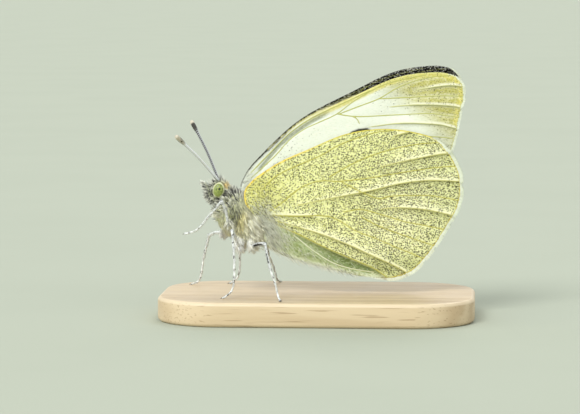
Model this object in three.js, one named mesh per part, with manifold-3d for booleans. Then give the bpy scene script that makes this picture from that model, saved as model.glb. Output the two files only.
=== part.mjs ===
// A large white butterfly (Pieris brassicae) at rest with its wings closed over its back,
// life size, standing on a flat display base. Millimetres, +Z up. The head points to -X, the
// butterfly's left side to -Y, and the origin is the middle of the underside of the base.
import * as THREE from 'three';
import { mergeVertices } from 'three/addons/utils/BufferGeometryUtils.js';
import Module from 'manifold-3d';

const wasm = await Module();
wasm.setup();

// ---------------------------------------------------------------- driving dimensions

const GAP = 0.1;              // clear space left between neighbouring solids
const BASE = { length: 39, width: 24.5, height: 3, corner: 8, bevel: 0.4, curveSteps: 6 };

// Size is half the length, width and depth; pitch turns the nose up, in degrees.
const HEAD = { at: [-12.2, 0, 15.7], size: [1.45, 1.35, 1.55], pitch: 30 };
const EYE = { at: [-12.3, 1.0, 15.75], size: [0.74, 0.62, 0.98], pitch: 12 };
const THORAX = { at: [-9.7, 0, 12.3], size: [3.9, 2.25, 2.95], pitch: 48 };
const NECK = -3.1;            // where the head is parted from the thorax, along the thorax
const WAIST = 3.25;           // where the abdomen is parted from it

// The abdomen is a tapering tube. Its radius swells and falls as half a sine wave, of which
// the two ends are shares, on top of a constant share.
const ABDOMEN = {
  front: [-8.1, 0, 10.35], middle: [-1.6, 0, 8.25], tip: [4.2, 0, 6.5], radius: 1.42,
  constantShare: 0.58, waveFrom: 0.22, waveTo: 0.97,
};
const PALP = { root: [-12.95, 0.42, 14.55], tip: [-14.1, 0.36, 16.45], thick: 0.34, fine: 0.25 };
const ANTENNA = {
  root: [-12.55, 0.62, 17.15], bow: [-14.4, 5.4, 20.15],
  leftTip: [-16.5, 10.7, 23.0], rightTip: [-16.9, 10.9, 23.6],
  radius: 0.25, clubRadius: 0.48,
  clubFrom: 0.79,             // where the club starts, as a share of the length
  clubFullAt: 0.75,           // where the club reaches its full radius, as a share of its own length
};

// Wings. An outline runs round the wing in the X-Z plane; the hub lies inside, near the root,
// and sees all of it. Both wings of a side follow one curved sheet, WING_STEP apart.
const LEAF = 0.5;              // the thickness of every wing
const WING_STEP = LEAF + 2 * GAP;
const FOREWING_RISE = 1.9;     // the right forewing stands this many degrees higher
const FOREWING = {
  hub: [-8.5, 16.2],
  costa: [
    [-9.6, 16.1], [-8.9, 17.9], [-6.9, 20.1], [-2.1, 24.2], [4.5, 27.5], [9.8, 29.8], [13.8, 30.4],
  ],
  apex: [[16.6, 30.2], [17.9, 29.4], [18.3, 27.9]],
  termen: [[17.8, 24.9], [17.2, 22.1], [16.0, 18.2], [14.4, 14.4]],
  dorsum: [[13.4, 13.5], [6.5, 13.6], [-2.2, 14.5], [-8.7, 15.3]],
};
const HINDWING = {
  hub: [-6.4, 12.8],
  costa: [
    [-8.0, 12.9], [-9.1, 14.6], [-8.9, 16.1], [-5.4, 18.9], [-0.9, 21.0], [3.5, 22.8], [8.0, 23.45],
  ],
  apex: [[12.0, 23.05], [15.3, 21.9], [17.1, 20.0]],
  termen: [[18.05, 17.4], [17.9, 14.2], [16.2, 10.8], [13.5, 6.9], [11.3, 5.0], [8.9, 4.45]],
  dorsum: [[6.1, 4.95], [1.0, 6.15], [-4.3, 7.75], [-6.5, 9.2], [-6.9, 11.3]],
};
const SHEET = {
  close: 0.3,                 // half the space between the forewings far from the body
  overBody: 1.0,              // how much further out a wing stands over the abdomen
  bodyReach: 5.5,             // the height over which the wings close again
  taperFrom: -2, taperTo: 12, // where along X the abdomen's share fades
  taperTail: 0.8,             // how much of it has faded by then
  overThorax: 0.9,            // how much further out a wing stands over the thorax
  thoraxAt: [-9, 13], thoraxReach: 2.2,
};

// Legs, each from its hip in the thorax down to its foot. Five stand on the base: they are given
// for the left side and mirrored for the right, whose feet are set farShift further along X. The
// left foreleg is lifted and reaches forward.
const FOOT = BASE.height + 0.2; // the height of a foot's middle, with its flat on the base
const STANDING = {
  foreleg: {
    hip: [-10.9, -0.9, 11.2], trochanter: [-12.0, -1.4, 10.3], knee: [-13.8, -4.6, 9.8],
    ankle: [-14.5, -5.3, 6.8],
    foot: [[-14.9, -5.7, 4.4], [-15.4, -6.1, FOOT + 0.15], [-16.1, -6.5, FOOT]],
    farShift: -0.3,
  },
  midleg: {
    hip: [-10.2, -0.9, 10.0], trochanter: [-9.7, -1.9, 8.8], knee: [-10.2, -6.0, 11.4],
    ankle: [-9.8, -7.0, 7.9],
    foot: [[-9.8, -7.4, 5.5], [-10.2, -7.6, FOOT + 0.5], [-11.0, -7.8, FOOT]],
    farShift: -0.6,
  },
  hindleg: {
    hip: [-8.7, -0.9, 9.8], trochanter: [-8.1, -2.1, 8.9], knee: [-6.2, -5.9, 9.8],
    ankle: [-5.4, -8.3, 7.0],
    foot: [[-4.6, -8.9, 4.8], [-4.3, -9.2, FOOT + 0.3], [-4.0, -10.2, FOOT]],
    farShift: -1.5,
  },
};
const LIFTED_FORELEG = {
  hip: [-10.6, -1.0, 12.2], trochanter: [-11.0, -2.3, 11.7], knee: [-11.4, -4.6, 14.8],
  ankle: [-13.4, -3.7, 12.6],
  foot: [[-14.3, -3.0, 11.4], [-15.2, -2.4, 10.7], [-16.2, -1.9, 10.4]],
};
const LEG_RADIUS = { coxa: 0.46, femur: 0.3, tibia: 0.26, tarsus: 0.25 };
const KNEE_SHIFT = 0.6;        // the share of farShift that a right knee moves

// How finely each shape is faceted: a ball round and up, a tube round and along, a wing round
// its rim and from its hub out.
const FACETS = {
  ball: [20, 12], eye: [16, 10], eyeSocket: [14, 8],
  abdomen: [16, 12], palp: [8, 4], antenna: [6, 10], club: [8, 5],
  coxa: [8, 2], limb: [6, 4], tarsus: [6, 8],
  wing: [46, 4],
};
const CAP_ANGLES = [Math.PI / 6, Math.PI / 3]; // where the rings of a tube's round end lie
const STRETCH_POINTS = { shaft: 6, club: 4 };   // points that carry each length of an antenna

const FINISH = {
  base: { color: 0xb89e78, roughness: 0.5 },
  fur: { color: 0xb9b9a8, roughness: 0.9 },
  eye: { color: 0x9dbd6a, roughness: 0.25 },
  wingWhite: { color: 0xf0f0e2, roughness: 0.8 },
  wingYellow: { color: 0xd8dc9c, roughness: 0.8 },
  limb: { color: 0xd9d8c8, roughness: 0.7 },
  antenna: { color: 0x8d8880, roughness: 0.7 },
  club: { color: 0x3c342c, roughness: 0.6 },
};

// ---------------------------------------------------------------- making solids

const vector = ([x, y, z]) => new THREE.Vector3(x, y, z);
const mirrored = ([x, y, z], side) => new THREE.Vector3(x, Math.abs(y) * side, z);
const smooth = (t) => t * t * (3 - 2 * t);
const ramp = (value, from, to) => smooth(THREE.MathUtils.clamp((value - from) / (to - from), 0, 1));

/** A geometry from a closed list of triangles, turned so that its faces point out. */
function closed(vertices, triangles) {
  let volume = 0;
  for (const [a, b, c] of triangles) {
    volume += vertices[a].dot(new THREE.Vector3().crossVectors(vertices[b], vertices[c]));
  }
  const facing = volume < 0 ? triangles.map(([a, b, c]) => [a, c, b]) : triangles;
  const geometry = new THREE.BufferGeometry().setFromPoints(vertices);
  geometry.setIndex(facing.flat());
  geometry.computeVertexNormals();
  return geometry;
}

/** The same shape as a manifold-3d solid, ready for cutting. */
function toSolid(geometry) {
  const bare = geometry.clone();
  bare.deleteAttribute('normal');
  bare.deleteAttribute('uv');
  const merged = mergeVertices(bare);
  const mesh = new wasm.Mesh({
    numProp: 3,
    vertProperties: new Float32Array(merged.attributes.position.array),
    triVerts: new Uint32Array(merged.index.array),
  });
  return new wasm.Manifold(mesh);
}

/** A cut solid back as a geometry. */
function toGeometry(solid) {
  const mesh = solid.getMesh();
  const geometry = new THREE.BufferGeometry();
  geometry.setAttribute('position', new THREE.BufferAttribute(mesh.vertProperties, 3));
  geometry.setIndex(new THREE.BufferAttribute(mesh.triVerts, 1));
  geometry.computeVertexNormals();
  return geometry;
}

/** An ellipsoid of half sizes [length, width, depth], pitched about Y, grown by a margin. */
function ellipsoid({ at, size, pitch = 0 }, grow = 0, facets = FACETS.ball) {
  const geometry = new THREE.SphereGeometry(1, ...facets);
  geometry.scale(...size.map((half) => half + grow));
  geometry.rotateY(THREE.MathUtils.degToRad(pitch));
  geometry.translate(...at);
  return geometry;
}

/** A tube along a smooth curve, with round ends centred on the curve's ends. */
function tube(points, radiusAt, [sides, steps]) {
  const curve = new THREE.CatmullRomCurve3(points, false, 'centripetal');
  const frames = curve.computeFrenetFrames(steps, false);
  const rings = [];
  const addRing = (step, back, scale) => {
    const radius = radiusAt(step / steps);
    const onCurve = curve.getPointAt(step / steps);
    const centre = onCurve.addScaledVector(frames.tangents[step], back * radius);
    rings.push({ centre, radius: radius * scale, step });
  };
  for (const angle of CAP_ANGLES) addRing(0, -Math.cos(angle), Math.sin(angle));
  for (let step = 0; step <= steps; step += 1) addRing(step, 0, 1);
  for (const angle of CAP_ANGLES.toReversed()) addRing(steps, Math.cos(angle), Math.sin(angle));

  const vertices = [];
  for (const { centre, radius, step } of rings) {
    for (let side = 0; side < sides; side += 1) {
      const turn = (2 * Math.PI * side) / sides;
      const vertex = centre.clone();
      vertex.addScaledVector(frames.normals[step], radius * Math.cos(turn));
      vertex.addScaledVector(frames.binormals[step], radius * Math.sin(turn));
      vertices.push(vertex);
    }
  }
  const start = vertices.length;
  const end = start + 1;
  vertices.push(curve.getPointAt(0).addScaledVector(frames.tangents[0], -radiusAt(0)));
  vertices.push(curve.getPointAt(1).addScaledVector(frames.tangents[steps], radiusAt(1)));

  const triangles = [];
  for (let side = 0; side < sides; side += 1) {
    const next = (side + 1) % sides;
    const last = (rings.length - 1) * sides;
    triangles.push([start, next, side], [end, last + side, last + next]);
    for (let row = 0; row < last; row += sides) {
      triangles.push([row + side, row + next, row + sides + next]);
      triangles.push([row + side, row + sides + next, row + sides + side]);
    }
  }
  return closed(vertices, triangles);
}

/** The distance of a forewing's middle from the body's midplane at a place (x, z). */
function wingSheet(x, z) {
  const [front, tip] = [ABDOMEN.front, ABDOMEN.tip];
  const slope = (tip[2] - front[2]) / (tip[0] - front[0]);
  const height = Math.max(0, z - front[2] - slope * (x - front[0]));
  const taper = 1 - SHEET.taperTail * ramp(x, SHEET.taperFrom, SHEET.taperTo);
  const body = SHEET.overBody * taper * Math.exp(-((height / SHEET.bodyReach) ** 2));
  const fromThorax = Math.hypot(x - SHEET.thoraxAt[0], z - SHEET.thoraxAt[1]) / SHEET.thoraxReach;
  return SHEET.close + body + SHEET.overThorax * Math.exp(-(fromThorax ** 2));
}

/** A wing: a curved leaf of even thickness, in rings from its hub out to its outline. */
function leaf(wing, side, layer, rise = 0) {
  const [rim, rings] = FACETS.wing;
  const root = new THREE.Vector2(...wing.costa[0]);
  const angle = THREE.MathUtils.degToRad(rise);
  const turned = ([x, z]) => new THREE.Vector2(x, z).rotateAround(root, angle);
  const corners = [...wing.costa, ...wing.apex, ...wing.termen, ...wing.dorsum].map(turned);
  const path = new THREE.CatmullRomCurve3(corners.map(({ x, y }) => new THREE.Vector3(x, 0, y)), true);
  const hub = turned(wing.hub);
  const outline = path.getSpacedPoints(rim).slice(0, rim);

  const vertices = [];
  const addVertex = (x, z, face) => {
    const away = wingSheet(x, z) + layer * WING_STEP + face * LEAF / 2;
    vertices.push(new THREE.Vector3(x, side * away, z));
  };
  for (const face of [-1, 1]) {
    addVertex(hub.x, hub.y, face);
    for (let ring = 1; ring <= rings; ring += 1) {
      const reach = ring / rings;
      for (const { x, z } of outline) {
        addVertex(hub.x + reach * (x - hub.x), hub.y + reach * (z - hub.y), face);
      }
    }
  }

  const triangles = [];
  const faceSize = 1 + rings * rim;
  for (let edge = 0; edge < rim; edge += 1) {
    const next = (edge + 1) % rim;
    for (const first of [0, faceSize]) {
      const add = (a, b, c) => triangles.push(first ? [a, c, b] : [a, b, c]);
      add(first, first + 1 + edge, first + 1 + next);
      for (let ring = first + 1; ring < first + 1 + (rings - 1) * rim; ring += rim) {
        add(ring + edge, ring + rim + edge, ring + rim + next);
        add(ring + edge, ring + rim + next, ring + next);
      }
    }
    const inner = faceSize - rim;
    const outer = inner + faceSize;
    triangles.push([inner + edge, outer + edge, outer + next]);
    triangles.push([inner + edge, outer + next, inner + next]);
  }
  return closed(vertices, triangles);
}

// ---------------------------------------------------------------- the sub-parts

const butterfly = new THREE.Group();
butterfly.name = 'butterfly';

/** Adds one named sub-part to the model. */
function add(name, geometry, finish) {
  const mesh = new THREE.Mesh(geometry, new THREE.MeshStandardMaterial({ ...finish, metalness: 0 }));
  mesh.name = name;
  butterfly.add(mesh);
}

/** The flat base: a plate with round corners and a small bevel, resting on Z = 0. */
function addBase() {
  const { length, width, height, corner, bevel, curveSteps } = BASE;
  const [halfX, halfY] = [length / 2 - bevel, width / 2 - bevel];
  const radius = corner - bevel;
  const shape = new THREE.Shape();
  const quarterTurn = Math.PI / 2;
  const corners = [[1, -1], [1, 1], [-1, 1], [-1, -1]];
  corners.forEach(([signX, signY], index) => {
    const start = (index - 1) * quarterTurn;
    const centre = [signX * (halfX - radius), signY * (halfY - radius)];
    shape.absarc(...centre, radius, start, start + quarterTurn);
  });
  const geometry = new THREE.ExtrudeGeometry(shape, {
    depth: height - 2 * bevel,
    bevelThickness: bevel,
    bevelSize: bevel,
    bevelSegments: 1,
    curveSegments: curveSteps,
  });
  geometry.translate(0, 0, bevel);
  add('stand_base', geometry, FINISH.base);
}

/** The body: head, thorax and abdomen, parted by thin flat cuts at the neck and the waist. */
function addBody() {
  const pitch = THREE.MathUtils.degToRad(THORAX.pitch);
  const along = [Math.cos(pitch), 0, -Math.sin(pitch)];
  const centre = vector(THORAX.at).dot(vector(along));
  const behind = (solid, place) => solid.trimByPlane(along, centre + place + GAP / 2);
  const before = (solid, place) => {
    const forward = along.map((value) => -value);
    return solid.trimByPlane(forward, -(centre + place - GAP / 2));
  };

  let head = before(toSolid(ellipsoid(HEAD)), NECK);
  for (const side of [-1, 1]) {
    const name = side < 0 ? 'left' : 'right';
    const eye = { ...EYE, at: mirrored(EYE.at, side).toArray() };
    head = head.subtract(toSolid(ellipsoid(eye, GAP, FACETS.eyeSocket)));
    add(`eye_${name}`, ellipsoid(eye, 0, FACETS.eye), FINISH.eye);
  }
  add('head', toGeometry(head), FINISH.fur);

  const thorax = before(behind(toSolid(ellipsoid(THORAX)), NECK), WAIST);
  add('thorax', toGeometry(thorax), FINISH.fur);

  const { constantShare, waveFrom, waveTo } = ABDOMEN;
  const girth = (t) => {
    const wave = Math.sin(Math.PI * THREE.MathUtils.lerp(waveFrom, waveTo, t));
    return ABDOMEN.radius * (constantShare + (1 - constantShare) * wave);
  };
  const spine = [ABDOMEN.front, ABDOMEN.middle, ABDOMEN.tip].map(vector);
  const abdomen = behind(toSolid(tube(spine, girth, FACETS.abdomen)), WAIST);
  add('abdomen', toGeometry(abdomen), FINISH.fur);
}

/** The two palps and the two clubbed antennae. */
function addFeelers() {
  const clearHead = toSolid(ellipsoid(HEAD, GAP));
  const clear = (geometry) => toGeometry(toSolid(geometry).subtract(clearHead));
  for (const side of [-1, 1]) {
    const name = side < 0 ? 'left' : 'right';
    const palp = [PALP.root, PALP.tip].map((point) => mirrored(point, side));
    const taper = (t) => THREE.MathUtils.lerp(PALP.thick, PALP.fine, t);
    add(`palp_${name}`, clear(tube(palp, taper, FACETS.palp)), FINISH.fur);

    const tip = side < 0 ? ANTENNA.leftTip : ANTENNA.rightTip;
    const points = [ANTENNA.root, ANTENNA.bow, tip].map((point) => mirrored(point, side));
    const curve = new THREE.CatmullRomCurve3(points, false, 'centripetal');
    const stretch = (from, to, count) => {
      const share = (index) => THREE.MathUtils.lerp(from, to, index / (count - 1));
      return Array.from({ length: count }, (_, index) => curve.getPointAt(share(index)));
    };
    const { radius, clubRadius, clubFrom, clubFullAt } = ANTENNA;
    const length = curve.getLength();
    const shaft = stretch(0, clubFrom - (2 * radius + GAP) / length, STRETCH_POINTS.shaft);
    add(`antenna_${name}`, clear(tube(shaft, () => radius, FACETS.antenna)), FINISH.antenna);

    const club = stretch(clubFrom, 1 - clubRadius / length, STRETCH_POINTS.club);
    const swell = (t) => THREE.MathUtils.lerp(radius, clubRadius, ramp(t, 0, clubFullAt));
    add(`antenna_club_${name}`, tube(club, swell, FACETS.club), FINISH.club);
  }
}

/** Four wings: the forewings next to the midplane, the hindwings outside them. */
function addWings() {
  add('forewing_left', leaf(FOREWING, -1, 0), FINISH.wingWhite);
  add('forewing_right', leaf(FOREWING, 1, 0, FOREWING_RISE), FINISH.wingWhite);
  add('hindwing_left', leaf(HINDWING, -1, 1), FINISH.wingYellow);
  add('hindwing_right', leaf(HINDWING, 1, 1), FINISH.wingYellow);
}

/** A point moved a distance towards another. */
function towards(point, target, distance) {
  return point.clone().addScaledVector(target.clone().sub(point).normalize(), distance);
}

/** One leg in four lengths: coxa, femur, tibia and tarsus, the last with a flat under its foot. */
function addLeg(pair, side) {
  const label = `${pair}_${side < 0 ? 'left' : 'right'}`;
  const leg = label === 'foreleg_left' ? LIFTED_FORELEG : STANDING[pair];
  const shift = side < 0 ? 0 : leg.farShift;
  const place = (point, share) => mirrored(point, side).add(new THREE.Vector3(shift * share, 0, 0));
  const hip = place(leg.hip, 0);
  const trochanter = place(leg.trochanter, 0);
  const knee = place(leg.knee, KNEE_SHIFT);
  const ankle = place(leg.ankle, 1);
  const toes = leg.foot.map((point) => place(point, 1));
  const radius = LEG_RADIUS;
  const clearOf = (before, joint, next, own) => towards(joint, next, before + own + GAP);
  const even = (value) => () => value;

  const coxa = tube([hip, trochanter], even(radius.coxa), FACETS.coxa);
  const clearThorax = toSolid(ellipsoid(THORAX, GAP));
  add(`${label}_coxa`, toGeometry(toSolid(coxa).subtract(clearThorax)), FINISH.fur);

  const femur = [clearOf(radius.coxa, trochanter, knee, radius.femur), knee];
  add(`${label}_femur`, tube(femur, even(radius.femur), FACETS.limb), FINISH.limb);
  const tibia = [clearOf(radius.femur, knee, ankle, radius.tibia), ankle];
  add(`${label}_tibia`, tube(tibia, even(radius.tibia), FACETS.limb), FINISH.limb);

  const heel = clearOf(radius.tibia, ankle, toes[0], radius.tarsus);
  const tarsus = toSolid(tube([heel, ...toes], even(radius.tarsus), FACETS.tarsus));
  add(`${label}_tarsus`, toGeometry(tarsus.trimByPlane([0, 0, 1], BASE.height)), FINISH.limb);
}

addBase();
addBody();
addFeelers();
addWings();
for (const pair of Object.keys(STANDING)) {
  for (const side of [-1, 1]) addLeg(pair, side);
}

export default butterfly;
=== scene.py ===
"""A large white butterfly at rest on a wooden base: its wings, coat, limbs and studio.

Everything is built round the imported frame, in the frame's own place. Lengths are in millimetres
until a mesh is made. The head points to -X, the butterfly's left side to -Y, and +Z is up.
"""

import logging
import math
import zlib
from collections.abc import Callable, Sequence
from dataclasses import dataclass, field
from enum import Enum
from functools import cached_property

import bmesh
import bpy
import numpy as np
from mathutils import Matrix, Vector


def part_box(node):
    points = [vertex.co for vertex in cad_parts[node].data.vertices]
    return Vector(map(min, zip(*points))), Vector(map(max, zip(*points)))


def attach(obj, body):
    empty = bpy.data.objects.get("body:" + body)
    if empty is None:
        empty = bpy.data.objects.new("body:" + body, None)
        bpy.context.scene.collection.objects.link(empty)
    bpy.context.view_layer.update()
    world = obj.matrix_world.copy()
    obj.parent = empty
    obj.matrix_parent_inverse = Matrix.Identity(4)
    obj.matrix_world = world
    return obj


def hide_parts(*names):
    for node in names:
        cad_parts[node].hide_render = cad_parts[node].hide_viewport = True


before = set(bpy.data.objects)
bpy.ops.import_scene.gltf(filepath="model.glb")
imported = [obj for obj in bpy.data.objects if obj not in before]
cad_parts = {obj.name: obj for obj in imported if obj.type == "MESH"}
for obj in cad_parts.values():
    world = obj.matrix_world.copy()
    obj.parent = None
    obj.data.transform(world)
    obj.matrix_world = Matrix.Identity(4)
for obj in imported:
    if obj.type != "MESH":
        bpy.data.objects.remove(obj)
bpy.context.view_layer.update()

log = logging.getLogger("butterfly")

Array = np.ndarray
Random = np.random.Generator
Pair = tuple[float, float]
Triple = tuple[float, float, float]
Colour = Triple
Socket = bpy.types.NodeSocket
Value = float | Colour | Socket

MM = 0.001
DOWN = np.array([0.0, 0.0, -1.0])
PATCH = 0.003          # the width of one tuft's patch on a coat's map


class Side(Enum):
    """Which side of the body a piece is on; the value is its sign along Y."""

    LEFT = -1
    RIGHT = 1

    @property
    def label(self) -> str:
        """The word used in the frame's node names."""
        return self.name.lower()


class Layer(Enum):
    """A wing's place in the folded pair; the value is the start of its node's name."""

    FORE = "forewing"
    HIND = "hindwing"


class Mark(Enum):
    """How a vein stands on the underside of a wing."""

    RIDGE = "ridge"
    VEIN = "vein"
    FOLD = "fold"


# ---------------------------------------------------------------- small mathematics


def shade(red: float, green: float, blue: float) -> Colour:
    """A colour given as 0 to 255 display values, in linear light."""
    display = np.array([red, green, blue]) / 255
    return tuple(np.where(display > 0.04045, ((display + 0.055) / 1.055) ** 2.4, display / 12.92))


def rng_for(name: str) -> Random:
    """A random generator that depends only on a piece's name."""
    return np.random.default_rng(zlib.crc32(name.encode()))


def step_up(value: Array | float, low: float, high: float) -> Array:
    """A smooth step from 0 where the value is low to 1 where it is high."""
    share = np.clip((np.asarray(value, dtype=float) - low) / (high - low), 0, 1)
    return share * share * (3 - 2 * share)


def bump_at(points: Array, centre: Sequence[float], reach: float) -> Array:
    """A round bump: 1 at the centre and near 0 beyond its reach."""
    return np.exp(-np.sum((points - np.asarray(centre)) ** 2, axis=-1) / reach**2)


def unit(vectors: Array) -> Array:
    """The same vectors, one unit long."""
    length = np.linalg.norm(vectors, axis=-1, keepdims=True)
    return vectors / np.maximum(length, 1e-12)


def blend(first: Array | Colour, second: Array | Colour, share: Array) -> Array:
    """Colours mixed row by row: the first where the share is 0, the second where it is 1."""
    return np.asarray(first) * (1 - share[:, None]) + np.asarray(second) * share[:, None]


def ripple(points: Array, wavelength: float, seed: str) -> Array:
    """Smooth random waves over space, from about -1 to 1.

    Args:
        points: The places, one row each.
        wavelength: The middle distance between crests.
        seed: A name that picks the waves.

    Returns:
        One value for each place.
    """
    rng = rng_for(seed)
    total = np.zeros(len(points))
    for _ in range(7):
        heading = unit(rng.normal(size=(1, points.shape[1])))[0]
        pace = 2 * math.pi / (wavelength * rng.uniform(0.6, 1.6))
        total += np.sin(points @ heading * pace + rng.uniform(0, 2 * math.pi))
    return total / 3.5


def spline(knots: Sequence[Sequence[float]] | Array, count: int, closed: bool = False) -> Array:
    """Samples a smooth curve through some points, evenly along its length.

    Args:
        knots: The points that the curve goes through.
        count: How many samples to return.
        closed: Whether the curve runs on from its last point to its first.

    Returns:
        The samples, one row each.
    """
    knots = np.asarray(knots, dtype=float)
    if closed:
        padded = np.vstack([knots[-1], knots, knots[0], knots[1]])
    else:
        padded = np.vstack([2 * knots[0] - knots[1], knots, 2 * knots[-1] - knots[-2]])
    share = np.linspace(0, 1, 24, endpoint=False)[:, None]
    fine = [
        0.5 * (2 * b + (c - a) * share + (2 * a - 5 * b + 4 * c - d) * share**2
               + (3 * b - a - 3 * c + d) * share**3)
        for a, b, c, d in zip(padded, padded[1:], padded[2:], padded[3:])
    ]
    path = np.vstack([*fine, padded[-2]])
    along = np.concatenate([[0], np.cumsum(np.linalg.norm(np.diff(path, axis=0), axis=1))])
    places = np.linspace(0, along[-1], count, endpoint=not closed)
    return np.column_stack([np.interp(places, along, path[:, axis]) for axis in range(path.shape[1])])


def path_distance(points: Array, path: Array) -> Array:
    """The distance from each point to a line of straight steps.

    Args:
        points: The places, one row each.
        path: The line's points.

    Returns:
        One distance for each point.
    """
    best = np.full(len(points), np.inf)
    for start, end in zip(path, path[1:]):
        step = end - start
        share = np.clip((points - start) @ step / max(step @ step, 1e-12), 0, 1)
        best = np.minimum(best, np.sum((points - start - share[:, None] * step) ** 2, axis=1))
    return np.sqrt(best)


def inside(points: Array, loop: Array) -> Array:
    """Whether each flat point is inside a closed loop.

    Args:
        points: The places, one row each.
        loop: The loop's corners.

    Returns:
        One truth value for each point.
    """
    found = np.zeros(len(points), dtype=bool)
    x, z = points.T
    for (x0, z0), (x1, z1) in zip(loop, np.roll(loop, -1, axis=0)):
        crosses = (z0 > z) != (z1 > z)
        if z0 != z1:
            found ^= crosses & (x < (x1 - x0) * (z - z0) / (z1 - z0) + x0)
    return found


def grid_places(low: Array, high: Array, step: float) -> Array:
    """Even places (x, z) between two corners, as columns of rows."""
    x, z = (np.arange(low[axis], high[axis], step) for axis in (0, 1))
    return np.stack(np.meshgrid(x, z, indexing="ij"), axis=-1)


def strip_places(share: Array, rng: Random) -> Array:
    """Random places on a limb's map, at given shares of its length."""
    return np.column_stack([share * 0.9 + 0.03, rng.uniform(0.35, 0.95, len(share))])


def layered(base: Array | Colour, *layers: tuple[Triple, Array]) -> Array:
    """Colours laid one over another.

    Args:
        base: The lowest colour.
        *layers: Each colour in display values, and how fully it covers each place.

    Returns:
        A colour for each place.
    """
    for colour, share in layers:
        base = blend(base, shade(*colour), share)
    return base


def across(directions: Array) -> tuple[Array, Array]:
    """Two unit vectors square to each direction and to each other.

    Args:
        directions: Unit vectors, one row each.

    Returns:
        The two vectors for each direction.
    """
    helper = np.where(np.abs(directions[:, 2:3]) > 0.9, [[1.0, 0, 0]], [[0, 0, 1.0]])
    first = unit(np.cross(directions, helper))
    return first, np.cross(directions, first)


def rotation(axis: str, degrees: float) -> Array:
    """The matrix that turns rows of points about X, Y or Z.

    Args:
        axis: X, Y or Z.
        degrees: How far to turn.

    Returns:
        The matrix.
    """
    turn = math.radians(degrees)
    cos, sin = math.cos(turn), math.sin(turn)
    rows = {"X": [[1, 0, 0], [0, cos, -sin], [0, sin, cos]],
            "Y": [[cos, 0, sin], [0, 1, 0], [-sin, 0, cos]],
            "Z": [[cos, -sin, 0], [sin, cos, 0], [0, 0, 1]]}
    return np.array(rows[axis]).T


# ---------------------------------------------------------------- reading the frame


def node_vertices(node: str) -> Array:
    """The corners of one of the frame's nodes, in millimetres, each given once.

    Args:
        node: The node's name.

    Returns:
        The corners, one row each.
    """
    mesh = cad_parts[node].data
    flat = np.empty(len(mesh.vertices) * 3, dtype=np.float32)
    mesh.vertices.foreach_get("co", flat)
    return np.unique((flat.reshape(-1, 3).astype(float) / MM).round(3), axis=0)


def node_box(node: str) -> tuple[Array, Array]:
    """The lowest and highest corner of a node, in millimetres."""
    low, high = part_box(node)
    return np.array(low) / MM, np.array(high) / MM


def node_middle(node: str) -> Array:
    """The middle of a node's box, in millimetres."""
    return np.mean(node_box(node), axis=0)


def middle_line(node: str, start: Array, count: int, blur: float = 0.3) -> Array:
    """The middle line of a long node, beginning at the end nearer to a point.

    Args:
        node: The node's name.
        start: The point that the line begins near.
        count: How many points to return.
        blur: How far along the node each point's corners are gathered.

    Returns:
        The line's points, one row each.
    """
    corners = node_vertices(node)
    centre = corners.mean(axis=0)
    axis = np.linalg.svd(corners - centre, full_matrices=False)[2][0]
    if (start - centre) @ axis > 0:
        axis = -axis
    places = (corners - centre) @ axis
    stations = np.linspace(places.min() + blur, places.max() - blur, count)
    weights = np.exp(-(((places[None] - stations[:, None]) / blur) ** 2))
    return weights @ corners / weights.sum(axis=1, keepdims=True)


# ---------------------------------------------------------------- meshes


def ring_faces(rows: int, sides: int, flip: bool = False) -> list[Array]:
    """The faces of a closed stack of rings, whose two end points come after the rings.

    Args:
        rows: How many rings there are.
        sides: How many corners each ring has.
        flip: Whether the faces are wound the other way.

    Returns:
        The quads between the rings, and the triangles at the two ends.
    """
    index = np.arange(rows * sides).reshape(rows, sides)
    turned = np.roll(index, -1, axis=1)
    quads = np.stack([index[:-1], turned[:-1], turned[1:], index[1:]], axis=-1).reshape(-1, 4)
    caps = np.vstack([np.column_stack([np.full(sides, rows * sides), turned[0], index[0]]),
                      np.column_stack([np.full(sides, rows * sides + 1), index[-1], turned[-1]])])
    return [np.roll(block[:, ::-1], 1, axis=1) if flip else block for block in (quads, caps)]


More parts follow.
